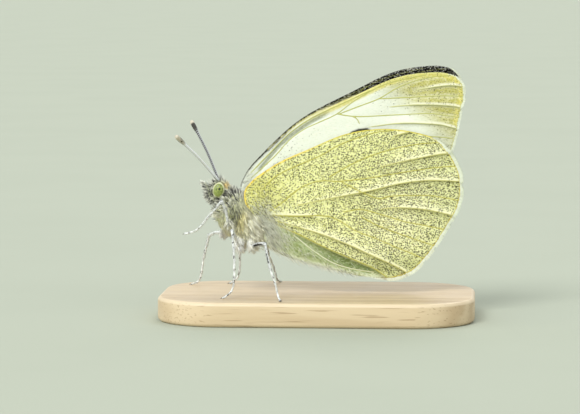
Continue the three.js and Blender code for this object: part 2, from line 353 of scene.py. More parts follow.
@dataclass
class Shell:
    """Vertices, faces and surface values gathered for one piece, in millimetres."""

    vertices: list[Array] = field(default_factory=list)
    faces: list[Array] = field(default_factory=list)
    values: dict[str, list[Array]] = field(default_factory=dict)
    maps: list[Array] = field(default_factory=list)
    count: int = 0

    def add(self, vertices: Array, faces: Sequence[Array], maps: Sequence[Array] = (),
            **values: Array) -> None:
        """Adds some faces.

        Args:
            vertices: The new vertices, one row each.
            faces: Blocks of triangles or quads that index the new vertices.
            maps: The place on the map of each face's corners, in blocks that match the faces.
            **values: A number or colour for each new vertex, by name.
        """
        self.vertices.append(vertices)
        self.faces += [block + self.count for block in faces]
        self.maps += [block.reshape(-1, 2) for block in maps]
        self.count += len(vertices)
        for name, value in values.items():
            self.values.setdefault(name, []).append(value)

    def build(self, name: str, finish: "Finish", nodes: Sequence[str] = (), smooth: bool = True) -> None:
        """Makes the Blender object, ties it to the frame and reports it.

        Args:
            name: The piece's name.
            finish: Its finish.
            nodes: The frame's nodes that it stands for.
            smooth: Whether its faces are shaded smooth.
        """
        mesh = bpy.data.meshes.new(name)
        corners = np.concatenate([block.ravel() for block in self.faces]).astype(np.int32)
        sizes = np.concatenate([np.full(len(block), block.shape[1]) for block in self.faces])
        starts = np.concatenate([[0], np.cumsum(sizes)[:-1]]).astype(np.int32)
        mesh.vertices.add(self.count)
        mesh.vertices.foreach_set("co", (np.vstack(self.vertices) * MM).ravel().astype(np.float32))
        mesh.loops.add(len(corners))
        mesh.loops.foreach_set("vertex_index", corners)
        mesh.polygons.add(len(sizes))
        mesh.polygons.foreach_set("loop_start", starts)
        mesh.update(calc_edges=True)
        mesh.polygons.foreach_set("use_smooth", np.full(len(sizes), smooth))
        if self.maps:
            places = np.vstack(self.maps).astype(np.float32)
            mesh.uv_layers.new(name="OFBake").uv.foreach_set("vector", places.ravel())
        for key, parts in self.values.items():
            value = np.concatenate(parts).astype(np.float32)
            if value.ndim == 2:
                rgba = np.column_stack([value, np.ones(len(value), dtype=np.float32)])
                mesh.attributes.new(key, "FLOAT_COLOR", "POINT").data.foreach_set("color", rgba.ravel())
            else:
                mesh.attributes.new(key, "FLOAT", "POINT").data.foreach_set("value", value)
        piece = bpy.data.objects.new(name, mesh)
        bpy.context.scene.collection.objects.link(piece)
        mesh.materials.append(finish.material)
        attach(piece, "root")
        if nodes:
            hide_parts(*nodes)
        triangles = len(mesh.loops) - 2 * len(mesh.polygons)
        log.info("%s: %d triangles%s", name, triangles, f", for {', '.join(nodes)}" if nodes else "")

    def tube(self, path: Array, radii: Array, places: Array, strip: float = 0.28, sides: int = 12,
             flat: Pair = (1, 1), first: Array | None = None, **values: Array) -> None:
        """Adds a closed tube with blunt ends.

        Args:
            path: The middle line, one row for each ring.
            radii: The radius of each ring.
            places: The place of each ring on the map.
            strip: How far the tube's way round reaches up the map.
            sides: How many sides the tube has.
            flat: How much the radius is scaled in the first and the second direction across.
            first: The first direction across at the start.
            **values: Surface values, one for each ring.
        """
        tangents = unit(np.gradient(path, axis=0))
        frames = np.empty((len(path), 2, 3))
        last = across(tangents[:1])[0][0] if first is None else first
        for row, tangent in enumerate(tangents):
            last = unit(last - tangent * (last @ tangent))
            frames[row] = last, np.cross(tangent, last)
        turn = np.linspace(0, 2 * math.pi, sides, endpoint=False)
        wheel = np.stack([flat[0] * np.cos(turn), flat[1] * np.sin(turn)], axis=1)
        rings = path[:, None] + np.einsum("sk,nkx->nsx", wheel, frames) * radii[:, None, None]
        ends = np.vstack([path[0] - tangents[0] * radii[0] * 0.6, path[-1] + tangents[-1] * radii[-1] * 0.6])
        lift = np.linspace(0, strip, sides + 1)[None, :, None] * [0, 1]
        laid = places[:, None] + lift
        around = np.stack([laid[:-1, :-1], laid[:-1, 1:], laid[1:, 1:], laid[1:, :-1]], axis=2)
        tips = [np.broadcast_to(row[:1] + [shift, strip / 2], row[1:].shape)
                for row, shift in ((laid[0], -PATCH), (laid[-1], PATCH))]
        ended = [np.stack([tips[0], laid[0, 1:], laid[0, :-1]], axis=1),
                 np.stack([tips[1], laid[-1, :-1], laid[-1, 1:]], axis=1)]
        spread = {key: np.concatenate([np.repeat(value, sides, axis=0), value[:1], value[-1:]])
                  for key, value in values.items()}
        self.add(np.vstack([rings.reshape(-1, 3), ends]), ring_faces(len(path), sides),
                 [around, np.vstack(ended)], **spread)


@dataclass
class Strands:
    """Many roots with a direction, length, width, colour and place on the map each."""

    roots: Array
    directions: Array
    lengths: Array
    widths: Array
    colours: Array
    places: Array

    def hairs(self, shell: Shell, bend: Array | float = 0.0, rings: int = 3, dark_root: float = 0.75,
              outs: Array | None = None, flat: float = 0.3) -> None:
        """Adds each strand as a closed, bent, three-sided lock that ends in a point.

        Args:
            shell: Where the faces go.
            bend: How the tips are pulled aside, as a share of the length.
            rings: How many rings of vertices a lock has below its tip.
            dark_root: The brightness at the root as a share of that at the tip.
            outs: The surface's direction at each root, for locks that lie flat on it.
            flat: How thick such a lock is, as a share of its width.
        """
        count = len(self.roots)
        if outs is None:
            side, other = across(self.directions)
        else:
            side = unit(np.cross(outs, self.directions))
            other = np.cross(self.directions, side) * flat
        reach = np.linspace(0, 1, rings + 1)
        spine = self.roots[:, None] + self.lengths[:, None, None] * (
            self.directions[:, None] * reach[None, :, None]
            + np.broadcast_to(bend, self.roots.shape)[:, None] * reach[None, :, None] ** 2)
        turn = np.array([3, 7, 11]) * math.pi / 6
        wheel = np.cos(turn)[:, None] * side[:, None] + np.sin(turn)[:, None] * other[:, None]
        thick = self.widths[:, None] / 2 * (1 - 0.9 * reach[:-1] ** 2)
        body = spine[:, :-1, None] + wheel[:, None] * thick[:, :, None, None]
        each = rings * 3 + 1
        vertices = np.concatenate([body.reshape(count, -1, 3), spine[:, -1:]], axis=1).reshape(-1, 3)
        row = np.arange(rings * 3).reshape(rings, 3)
        turned = np.roll(row, -1, axis=1)
        quads = np.stack([row[:-1], turned[:-1], turned[1:], row[1:]], axis=-1).reshape(-1, 4)
        ends = np.vstack([np.column_stack([row[-1], turned[-1], np.full(3, each - 1)]), [[2, 1, 0]]])
        base = (np.arange(count) * each)[:, None, None]
        up = np.concatenate([np.repeat(reach[:-1], 3), [1]])
        spread = np.column_stack([up, np.concatenate([np.tile([0, 0.5, 1], rings), [0.5]])]) * PATCH
        tone = dark_root + (1 - dark_root) * up
        shell.add(vertices, [(base + quads).reshape(-1, 4), (base + ends).reshape(-1, 3)],
                  [(self.places[:, None, None] + spread[block][None]) for block in (quads, ends)],
                  coat=(self.colours[:, None] * tone[None, :, None]).reshape(-1, 3))

    def scales(self, shell: Shell, normals: Array, lift: float = 0.15, crown: float = 0.12) -> None:
        """Adds each strand as a small closed shield that lies on the surface, its tip raised.

        Args:
            shell: Where the faces go.
            normals: The surface's direction at each root.
            lift: How steeply a shield rises from its root to its tip.
            crown: How high its middle stands, as a share of its width.
        """
        ahead = unit(self.directions + normals * lift)
        side = unit(np.cross(ahead, normals))
        top = np.cross(side, ahead)
        plan = np.array([[0, 0, 0], [0.4, 0.5, 0], [0.95, 0.3, 0], [0.95, -0.3, 0], [0.4, -0.5, 0],
                         [0.5, 0, crown]])
        place = (plan[None, :, 0, None] * (ahead * self.lengths[:, None])[:, None]
                 + plan[None, :, 1, None] * (side * self.widths[:, None])[:, None]
                 + plan[None, :, 2, None] * (top * self.widths[:, None])[:, None])
        rim = np.arange(5)
        top_faces = np.column_stack([rim, np.roll(rim, -1), np.full(5, 5)])
        faces = np.vstack([top_faces, [[2, 1, 0], [3, 2, 0], [4, 3, 0]]])
        base = (np.arange(len(self.roots)) * len(plan))[:, None, None]
        spread = (plan[:, :2] + [0, 0.5]) * PATCH
        shell.add((self.roots[:, None] + place).reshape(-1, 3), [(base + faces).reshape(-1, 3)],
                  [self.places[:, None, None] + spread[faces][None]],
                  coat=np.repeat(self.colours, len(plan), axis=0))


# ---------------------------------------------------------------- finishes


class Graph:
    """A short way to place and join the nodes of one node tree."""

    def __init__(self, tree: bpy.types.NodeTree) -> None:
        """Starts with an empty tree."""
        self.tree = tree
        tree.nodes.clear()

    def node(self, kind: str, inputs: dict[str | int, Value] | None = None,
             **settings: object) -> bpy.types.Node:
        """Places a node.

        Args:
            kind: The node's Blender type.
            inputs: What goes into its sockets: numbers, colours or other nodes' sockets.
            **settings: Its options.

        Returns:
            The node.
        """
        node = self.tree.nodes.new(kind)
        for key, value in settings.items():
            setattr(node, key, value)
        for key, value in (inputs or {}).items():
            socket = node.inputs[key]
            if isinstance(value, Socket):
                self.tree.links.new(value, socket)
            else:
                colour = socket.type == "RGBA"
                socket.default_value = (*value, 1.0) if colour else value
        return node

    def maths(self, operation: str, first: Value, second: Value = 0.0) -> Socket:
        """The result of one arithmetic step."""
        node = self.node("ShaderNodeMath", {0: first, 1: second}, operation=operation)
        return node.outputs[0]

    def ramp(self, value: Value, low: float, high: float, start: float = 0.0, end: float = 1.0) -> Socket:
        """A smooth, limited step of a value, from start at low to end at high.

        Args:
            value: What the step follows.
            low: Where the step begins.
            high: Where it ends.
            start: The result at low.
            end: The result at high.

        Returns:
            The result's socket.
        """
        node = self.node("ShaderNodeMapRange", {0: value, 1: low, 2: high, 3: start, 4: end},
                         interpolation_type="SMOOTHSTEP")
        return node.outputs[0]

    def mix(self, share: Value, first: Value, second: Value, mode: str = "MIX") -> Socket:
        """Two colours mixed: the first where the share is 0, the second where it is 1.

        Args:
            share: How much of the second is mixed in.
            first: The first colour.
            second: The second colour.
            mode: How they are mixed.

        Returns:
            The result's socket.
        """
        node = self.node("ShaderNodeMix", {0: share, 6: first, 7: second}, data_type="RGBA", blend_type=mode,
                         clamp_factor=True)
        return node.outputs[2]

    def place(self, stretch: Triple = (1, 1, 1)) -> Socket:
        """The place on the piece, in metres, scaled along each axis.

        Args:
            stretch: The scale along each axis.

        Returns:
            The result's socket.
        """
        coordinates = self.node("ShaderNodeTexCoord").outputs["Object"]
        scaled = self.node("ShaderNodeVectorMath", {0: coordinates, 1: stretch}, operation="MULTIPLY")
        return scaled.outputs[0]

    def noise(self, scale: Value, detail: float = 2.0, stretch: Triple = (1, 1, 1)) -> Socket:
        """Cloudy noise from 0 to 1, its scale per metre."""
        inputs = {"Vector": self.place(stretch), "Scale": scale, "Detail": detail}
        return self.node("ShaderNodeTexNoise", inputs).outputs["Fac"]

    def value(self, name: str) -> Socket:
        """A number that the mesh carries."""
        return self.node("ShaderNodeAttribute", attribute_name=name).outputs["Fac"]

    def tint(self, name: str) -> Socket:
        """A colour that the mesh carries."""
        return self.node("ShaderNodeAttribute", attribute_name=name).outputs["Color"]


def effect(name: str, inputs: dict[str, float | Colour], outputs: dict[str, str],
           fill: Callable[[Graph, dict[str, Socket]], dict[str, Socket]]) -> bpy.types.NodeTree:
    """A shader node group, built once and shared by the materials.

    Args:
        name: The group's name.
        inputs: The inputs with their default values.
        outputs: The outputs with their socket types.
        fill: Places the nodes, and returns what goes to each output.

    Returns:
        The group.
    """
    if name in bpy.data.node_groups:
        return bpy.data.node_groups[name]
    group = bpy.data.node_groups.new(name, "ShaderNodeTree")
    for key, default in inputs.items():
        kind = "NodeSocketFloat" if isinstance(default, float) else "NodeSocketColor"
        socket = group.interface.new_socket(key, in_out="INPUT", socket_type=kind)
        socket.default_value = default if isinstance(default, float) else (*default, 1.0)
    for key, kind in outputs.items():
        group.interface.new_socket(key, in_out="OUTPUT", socket_type=kind)
    graph = Graph(group)
    start = graph.node("NodeGroupInput")
    graph.node("NodeGroupOutput", fill(graph, {key: start.outputs[key] for key in inputs}))
    return group


def scale_grain() -> bpy.types.NodeTree:
    """Rows of tiny scales: a tone for each scale and the height of its dome.

    Returns:
        The group.
    """

    def fill(graph: Graph, given: dict[str, Socket]) -> dict[str, Socket]:
        """Places one cell pattern, squashed so that the scales are long.

        Args:
            graph: The node tree that it adds to.
            given: The group's inputs, by name.

        Returns:
            What goes to each output.
        """
        place = graph.place((0.6, 1, 1))
        cells = graph.node("ShaderNodeTexVoronoi", {"Vector": place, "Scale": given["Density"]})
        parted = graph.node("ShaderNodeSeparateColor", {0: cells.outputs["Color"]})
        dome = graph.maths("SUBTRACT", 1.0, cells.outputs["Distance"])
        return {"Tone": parted.outputs[0], "Height": graph.maths("MULTIPLY", dome, given["Depth"])}

    outputs = {"Tone": "NodeSocketFloat", "Height": "NodeSocketFloat"}
    return effect("scale_grain", {"Density": 9000.0, "Depth": 1.0}, outputs, fill)


def mottle() -> bpy.types.NodeTree:
    """Soft uneven colour: patches of a second colour over the first.

    Returns:
        The group.
    """

    def fill(graph: Graph, given: dict[str, Socket]) -> dict[str, Socket]:
        """Places the cloudy noise and the mix.

        Args:
            graph: The node tree that it adds to.
            given: The group's inputs, by name.

        Returns:
            What goes to each output.
        """
        patches = graph.ramp(graph.noise(given["Scale"], 3.0), 0.35, 0.7)
        share = graph.maths("MULTIPLY", patches, given["Amount"])
        return {"Color": graph.mix(share, given["Color"], given["Patch"])}

    inputs = {"Color": (0.5, 0.5, 0.5), "Patch": (0.4, 0.4, 0.4), "Scale": 500.0, "Amount": 0.5}
    return effect("mottle", inputs, {"Color": "NodeSocketColor"}, fill)


@dataclass(frozen=True)
class Finish:
    """A material: subclasses say how its colour and its height change over the surface."""

    name: str
    slot: str
    roughness: float = 0.6
    gloss: float = 0.3
    relief: float = 0.02       # the height of the bump, in millimetres
    sheen: float = 0.0

    def use(self, graph: Graph, group: bpy.types.NodeTree, inputs: dict[str, Value]) -> bpy.types.Node:
        """Places a shared effect with this finish's own values.

        Args:
            graph: The material's nodes.
            group: The effect.
            inputs: What goes into it, by name.

        Returns:
            The group's node.
        """
        return graph.node("ShaderNodeGroup", inputs, node_tree=group)

    def colour(self, graph: Graph) -> Socket:
        """The base colour."""
        raise NotImplementedError

    def height(self, graph: Graph) -> Socket:
        """The fine relief, from 0 to 1."""
        return self.use(graph, scale_grain(), {}).outputs["Height"]

    def rough(self, graph: Graph) -> Value:
        """The roughness: one number, unless a finish varies it."""
        return self.roughness

    @cached_property
    def material(self) -> bpy.types.Material:
        """The Blender material, made when it is first asked for.

        Returns:
            The material.
        """
        material = bpy.data.materials.new(self.name)
        material.use_nodes = True
        graph = Graph(material.node_tree)
        bump = graph.node("ShaderNodeBump", {"Height": self.height(graph), "Distance": self.relief * MM})
        shader = graph.node("ShaderNodeBsdfPrincipled", {
            "Base Color": self.colour(graph), "Roughness": self.rough(graph), "Normal": bump.outputs[0],
            "Specular IOR Level": self.gloss, "Sheen Weight": self.sheen})
        graph.node("ShaderNodeOutputMaterial", {"Surface": shader.outputs[0]})
        return material


@dataclass(frozen=True)
class WingFinish(Finish):
    """Scaled membrane: the mesh carries its ground tint and its distances to veins and edge."""

    vein: Colour = shade(196, 191, 88)
    # light: paler scales, and the painted highlight along the upper side of each ridge
    light: Colour = shade(252, 251, 206)
    # dark: the painted shade along the lower side of each ridge
    dark: Colour = shade(128, 130, 62)
    edge: Colour = shade(222, 210, 96)
    deep: Colour = (0.72, 0.71, 0.5)
    vein_width: float = 0.07
    light_share: float = 0.75
    dark_share: float = 0.5
    albedo: float = 0.8        # how much of the light the scales send back

    def colour(self, graph: Graph) -> Socket:
        """Ground tint with uneven scales, a painted highlight above and painted shade below each ridge, veins
        and edge line.

        Args:
            graph: The node tree that it adds to.

        Returns:
            The colour's socket.
        """
        grain = self.use(graph, scale_grain(), {}).outputs["Tone"]
        ground = graph.tint("tint")
        paler = graph.mix(0.5, ground, self.light)
        base = graph.mix(graph.ramp(grain, 0.45, 1.0, 0.0, 0.7), ground, paler)
        base = graph.mix(graph.ramp(grain, 0.5, 0.0), base, self.deep, "MULTIPLY")
        base = self.use(graph, mottle(), {"Color": base, "Patch": ground, "Scale": 900.0}).outputs["Color"]
        # A painted highlight just above each ridge and painted shade just below it.
        above = graph.value("above")
        ridge_highlight = graph.maths("MULTIPLY", graph.ramp(above, 0.0, 0.06), graph.ramp(above, 0.12, 0.4, 1.0, 0.0))
        base = graph.mix(graph.maths("MULTIPLY", ridge_highlight, self.light_share), base, self.light)
        ridge_shade = graph.maths("MULTIPLY", graph.ramp(above, -0.3, -0.06),
                           graph.ramp(above, -0.02, 0.03, 1.0, 0.0))
        base = graph.mix(graph.maths("MULTIPLY", ridge_shade, self.dark_share), base, self.dark)
        line = graph.ramp(graph.value("vein"), self.vein_width * 0.7, self.vein_width * 1.3, 1.0, 0.0)
        base = graph.mix(graph.maths("MULTIPLY", line, graph.value("under")), base, self.vein)
        rim = graph.maths("MULTIPLY", graph.ramp(graph.value("edge"), 0.10, 0.2, 1.0, 0.0),
                          graph.value("lined"))
        below = graph.ramp(graph.value("under"), 0.6, 0.9)
        base = graph.mix(graph.maths("MULTIPLY", rim, below), base, self.edge)
        return graph.mix(1.0, base, (self.albedo,) * 3, "MULTIPLY")


@dataclass(frozen=True)
class CoatFinish(Finish):
    """Hair or scales whose colour the mesh carries, streaked along the body."""

    streak: Colour = shade(250, 248, 226)
    amount: float = 0.2

    def colour(self, graph: Graph) -> Socket:
        """The carried colour with soft pale streaks."""
        inputs = {"Color": graph.tint("coat"), "Patch": self.streak, "Scale": 1800.0, "Amount": self.amount}
        return self.use(graph, mottle(), inputs).outputs["Color"]

    def height(self, graph: Graph) -> Socket:
        """Fine ridges along each hair."""
        return graph.noise(9000.0, 2.0, (1, 1, 0.3))


@dataclass(frozen=True)
class LimbFinish(Finish):
    """Pale scales with dark flecks over a limb whose main colour the mesh carries."""

    fleck: Colour = shade(70, 66, 48)
    flecks: float = 0.62

    def colour(self, graph: Graph) -> Socket:
        """The carried colour, uneven from scale to scale, with flecks.

        Args:
            graph: The node tree that it adds to.

        Returns:
            The colour's socket.
        """
        grain = self.use(graph, scale_grain(), {"Density": 11000.0}).outputs["Tone"]
        ground = graph.tint("coat")
        base = graph.mix(graph.ramp(grain, 0.3, 1.0, 0.0, 0.25), ground, graph.mix(0.4, ground, self.fleck))
        spots = graph.ramp(graph.noise(2600.0, 1.0), self.flecks, self.flecks + 0.05)
        return graph.mix(spots, base, self.fleck)


@dataclass(frozen=True)
class EyeFinish(Finish):
    """A compound eye: a green dome of tiny facets with dark spots and a pale rim."""

    ground: Colour = shade(118, 134, 60)
    cloud: Colour = shade(158, 168, 92)
    spot: Colour = shade(16, 20, 8)
    rim: Colour = shade(206, 208, 164)

    def colour(self, graph: Graph) -> Socket:
        """Clouded green with the spots and the rim, whose distances the mesh carries.

        Args:
            graph: The node tree that it adds to.

        Returns:
            The colour's socket.
        """
        inputs = {"Color": self.ground, "Patch": self.cloud, "Scale": 3500.0, "Amount": 0.8}
        base = self.use(graph, mottle(), inputs).outputs["Color"]
        base = graph.mix(graph.ramp(graph.noise(9000.0, 1.0), 0.56, 0.66, 0.0, 0.45), base, shade(84, 98, 30))
        base = graph.mix(graph.ramp(graph.value("spot"), -0.02, 0.03, 1.0, 0.0), base, self.spot)
        return graph.mix(graph.ramp(graph.value("rim"), 0.0, 0.07), base, self.rim)

    def height(self, graph: Graph) -> Socket:
        """Domed facets."""
        return self.use(graph, scale_grain(), {"Density": 26000.0}).outputs["Height"]


@dataclass(frozen=True)
class WoodFinish(Finish):
    """Fine-grained satin wood: long growth lines, darker pores and worn edges."""

    late: Colour = shade(176, 150, 112)
    early: Colour = shade(206, 186, 150)
    worn: Colour = shade(220, 204, 172)

    def colour(self, graph: Graph) -> Socket:
        """Growth rings cut lengthwise, with pores and pale edges.

        Args:
            graph: The node tree that it adds to.

        Returns:
            The colour's socket.
        """
        warp = graph.noise(60.0, 3.0, (0.15, 1, 1))
        place = graph.place((0.12, 1.0, 1.6))
        shift = graph.maths("MULTIPLY", warp, 0.006)
        moved = graph.node("ShaderNodeVectorMath", {0: place, 1: shift}, operation="ADD")
        rings = graph.node("ShaderNodeTexWave", {
            "Vector": moved.outputs[0], "Scale": 90.0, "Distortion": 9.0, "Detail": 4.0, "Detail Scale": 1.5,
        }, bands_direction="Y").outputs["Fac"]
        strength = graph.ramp(graph.noise(70.0, 2.0, (0.1, 1, 1)), 0.35, 0.7, 0.08, 0.6)
        base = graph.mix(graph.maths("MULTIPLY", rings, strength), self.early, self.late)
        pores = graph.ramp(graph.noise(5200.0, 1.0, (0.04, 1, 1)), 0.6, 0.72, 0.0, 0.5)
        base = graph.mix(pores, base, shade(142, 114, 80))
        return graph.mix(graph.ramp(graph.value("wear"), 0.3, 1.0, 0.0, 0.55), base, self.worn)

    def height(self, graph: Graph) -> Socket:
        """Open pores under the varnish."""
        return graph.noise(5200.0, 2.0, (0.04, 1, 1))

    def rough(self, graph: Graph) -> Value:
        """Smoother where the varnish is thick."""
        return graph.ramp(graph.noise(220.0, 2.0), 0.3, 0.7, self.roughness, self.roughness + 0.12)


@dataclass(frozen=True)
class FloorFinish(Finish):
    """Pale matt studio paper."""

    ground: Colour = shade(174, 180, 163)

    def colour(self, graph: Graph) -> Socket:
        """One pale colour with the faintest clouding."""
        inputs = {"Color": self.ground, "Patch": shade(171, 177, 160), "Scale": 30.0, "Amount": 0.5}
        return self.use(graph, mottle(), inputs).outputs["Color"]

    def height(self, graph: Graph) -> Socket:
        """The tooth of the paper."""
        return graph.noise(2500.0, 2.0)


# ---------------------------------------------------------------- wings


@dataclass(frozen=True)
class Sheet:
    """The curved surface that both wings of a side follow, away from the body's middle plane."""

    close: float = 0.3
    over_body: float = 1.0
    body_reach: float = 5.5
    taper: Pair = (-2, 12)
    taper_tail: float = 0.8
    over_thorax: float = 0.9
    thorax_at: Pair = (-9, 13)
    thorax_reach: float = 2.2
    front: Pair = (-8.1, 10.35)
    tip: Pair = (4.2, 6.5)

    def away(self, places: Array) -> Array:
        """The distance from the middle plane at flat places (x, z).

        Args:
            places: Flat places (x, z).

        Returns:
            One distance for each place.
        """
        x, z = places.T
        slope = (self.tip[1] - self.front[1]) / (self.tip[0] - self.front[0])
        height = np.maximum(0, z - self.front[1] - slope * (x - self.front[0]))
        taper = 1 - self.taper_tail * step_up(x, *self.taper)
        body = self.over_body * taper * np.exp(-((height / self.body_reach) ** 2))
        return self.close + body + self.over_thorax * bump_at(places, self.thorax_at, self.thorax_reach)


@dataclass(frozen=True)
class Vein:
    """One vein of a wing, given by a few places (x, z) from its root to the margin."""

    mark: Mark
    points: tuple[Pair, ...]
    width: float = 0.13

    @cached_property
    def path(self) -> Array:
        """The smooth line of the vein."""
        return spline(self.points, 12 * len(self.points)) if len(self.points) > 2 else np.array(self.points)

    def fade(self, places: Array) -> Array:
        """How fully the vein has risen beside each place, from 0 at its root to 1."""
        start, end = self.path[0, 0], self.path[-1, 0]
        return step_up((places[:, 0] - start) / (end - start), -0.02, 0.4)

    def side_of(self, places: Array) -> Array:
        """1 for places above the vein and -1 for those below it."""
        path = self.path[np.argsort(self.path[:, 0])]
        return np.where(places[:, 1] > np.interp(places[:, 0], path[:, 0], path[:, 1]), 1.0, -1.0)


@dataclass
class Plan:
    """The flat plan of one kind of wing; subclasses give its veins and its colours."""

    layer: Layer
    hub: Pair
    veins: tuple[Vein, ...]
    fringe_from: Pair     # where the fringe begins, near the apex
    fringe_to: Pair       # where it ends, near the body
    fringe: float = 0.48
    grid: float = 0.13
    chart: float = 0.1
    draw: float = 0.97         # how far the outer corners are drawn to the edge, so that no two meet
    sheet: Sheet = Sheet()
    offset: float = 0.0

    @cached_property
    def rim(self) -> Array:
        """The wing's outline with its fringe, from its node in the frame.

        Returns:
            Its points in order, one row each.
        """
        flat = node_vertices(f"{self.layer.value}_left")[:, [0, 2]] - self.hub
        angle, reach = np.arctan2(flat[:, 1], flat[:, 0]), np.linalg.norm(flat, axis=1)
        near = np.abs((angle[:, None] - angle[None] + math.pi) % (2 * math.pi) - math.pi) < 0.004
        outer = (reach >= np.max(np.where(near, reach[None], 0), axis=1) * 0.99) & (reach > 1)
        order = np.flatnonzero(outer)[np.argsort(angle[outer])]
        keep = order[np.append(np.diff(angle[order]) > 0.004, True)]
        return spline(flat[keep] + self.hub, 480, closed=True)

    @cached_property
    def outward(self) -> Array:
        """The direction out of the wing at each place of its rim."""
        step = np.roll(self.rim, -1, axis=0) - np.roll(self.rim, 1, axis=0)
        return unit(np.column_stack([step[:, 1], -step[:, 0]]))

    @cached_property
    def fringed(self) -> Array:
        """How far each place of the rim belongs to the fringed margin, from 0 to 1.

        Returns:
            One share for each point of the rim.
        """
        turn = self.angle(self.rim)
        end, start = self.angle(np.array([self.fringe_to, self.fringe_from]))
        return step_up(turn, end - 0.06, end + 0.06) * step_up(turn, start + 0.06, start - 0.06)

    def angle(self, places: Array) -> Array:
        """The direction of places as seen from the hub, counted from straight down."""
        flat = places - np.array(self.hub)
        return (np.arctan2(flat[:, 1], flat[:, 0]) + math.pi / 2) % (2 * math.pi)

    @cached_property
    def margin(self) -> Array:
        """The edge of the membrane, inside the fringe and slightly waved between the veins."""
        inset = 0.04 + (self.fringe + 0.04 * ripple(self.rim, 2.5, "margin")) * self.fringed
        return self.rim - self.outward * inset[:, None]

    def along_ridges(self, places: Array) -> tuple[Array, Array]:
        """The distance to the nearest ridge, plus above it and minus below it, and the relief there.

        Args:
            places: Flat places (x, z).

        Returns:
            The distances, and the relief.
        """
        nearest = np.full(len(places), np.inf)
        signed = np.full(len(places), 9.0)
        relief = np.zeros(len(places))
        for vein in self.veins:
            if vein.mark is not Mark.RIDGE:
                continue
            distance, side = path_distance(places, vein.path), vein.side_of(places)
            width = np.where(side > 0, 0.6, 0.24)
            fade = vein.fade(places)
            relief = np.maximum(relief, 0.17 * fade * np.exp(-((distance / width) ** 2)))
            signed = np.where(distance < nearest, (distance + 0.5 * (1 - fade)) * side, signed)
            nearest = np.minimum(nearest, distance)
        return signed, relief

    def to_veins(self, places: Array) -> Array:
        """The distance to the nearest vein of any kind."""
        return np.min([path_distance(places, vein.path) for vein in self.veins], axis=0)

    def to_edge(self, places: Array) -> Array:
        """The distance to the edge of the membrane."""
        return path_distance(places, np.vstack([self.margin, self.margin[:1]]))

    def relief(self, places: Array) -> Array:
        """How far the surface stands out of the sheet, before its ridges are added."""
        return 0.05 * ripple(places, 5.0, self.layer.value) + 0.02 * ripple(places, 1.6, self.layer.name)

    @cached_property
    def surface(self) -> tuple[Array, Array]:
        """The outer face on an even grid: the grid's first place, and its distances from the middle plane.

        Returns:
            The grid's first place, and its distances.
        """
        low, high = self.rim.min(axis=0) - 1, self.rim.max(axis=0) + 1
        grid = grid_places(low, high, self.chart)
        places = grid.reshape(-1, 2)
        groove = -0.035 * np.exp(-((self.to_veins(places) / 0.3) ** 2))
        ridges = self.along_ridges(places)[1]
        away = self.sheet.away(places) + self.offset + self.relief(places) + ridges + groove
        return low, away.reshape(grid.shape[:2])

    def away(self, places: Array) -> Array:
        """The distance of the wing's outer face from the middle plane, read between the grid's points.

        Args:
            places: Flat places (x, z).

        Returns:
            One distance for each place.
        """
        low, grid = self.surface
        steps = np.clip((places - low) / self.chart, 0, np.array(grid.shape) - 1.001)
        (i, j), (u, v) = steps.astype(int).T, (steps % 1).T
        near = grid[i, j] * (1 - v) + grid[i, j + 1] * v
        far = grid[i + 1, j] * (1 - v) + grid[i + 1, j + 1] * v
        return near * (1 - u) + far * u

    def ground(self, places: Array) -> Array:
        """The ground colour of the underside."""
        raise NotImplementedError

    def upper(self, places: Array) -> Array:
        """The ground colour of the upper side."""
        raise NotImplementedError

    def lined(self, places: Array) -> Array:
        """How strongly the coloured line along the edge shows."""
        raise NotImplementedError

    @cached_property
    def cells(self) -> tuple[Array, Array]:
        """Even square cells that fill the membrane, the outer ones drawn out to its edge.

        Returns:
            The places of the corners, and the cells as rows of four corners.
        """
        low, high = self.margin.min(axis=0), self.margin.max(axis=0)
        counts = np.ceil((high - low) / self.grid).astype(int) + 1
        x, z = (low[axis] + self.grid * np.arange(counts[axis]) for axis in (0, 1))
        places = np.stack(np.meshgrid(x, z, indexing="ij"), axis=-1)
        held = inside(places.reshape(-1, 2), self.margin).reshape(places.shape[:2])
        index = np.arange(held.size).reshape(held.shape)
        whole = held[:-1, :-1] & held[1:, :-1] & held[1:, 1:] & held[:-1, 1:]
        quads = np.stack([index[:-1, :-1], index[1:, :-1], index[1:, 1:], index[:-1, 1:]], axis=-1)[whole]
        used, flat = np.unique(quads, return_inverse=True)
        quads = flat.reshape(-1, 4)
        places = places.reshape(-1, 2)[used]
        edge = np.bincount(quads.ravel(), minlength=len(used)) < 4
        along = np.roll(self.margin, -1, axis=0) - self.margin
        gaps = places[edge][:, None] - self.margin[None]
        share = np.clip(np.sum(gaps * along, axis=2) / np.sum(along ** 2, axis=1), 0, 1)
        feet = self.margin + share[..., None] * along
        nearest = np.linalg.norm(places[edge][:, None] - feet, axis=2).argmin(axis=1)
        places[edge] += self.draw * (feet[np.arange(len(nearest)), nearest] - places[edge])
        return places, quads

    @cached_property
    def cell_values(self) -> dict[str, Array]:
        """What the finish needs to know at each corner of the cells.

        Returns:
            The values of the corners, by name.
        """
        places = self.cells[0]
        return {"above": self.along_ridges(places)[0], "vein": self.to_veins(places),
                "edge": self.to_edge(places), "lined": self.lined(places)}

    @cached_property
    def cell_tints(self) -> Array:
        """The ground colour at each corner of the cells, below and then above."""
        places = self.cells[0]
        return np.vstack([self.ground(places), self.upper(places)])


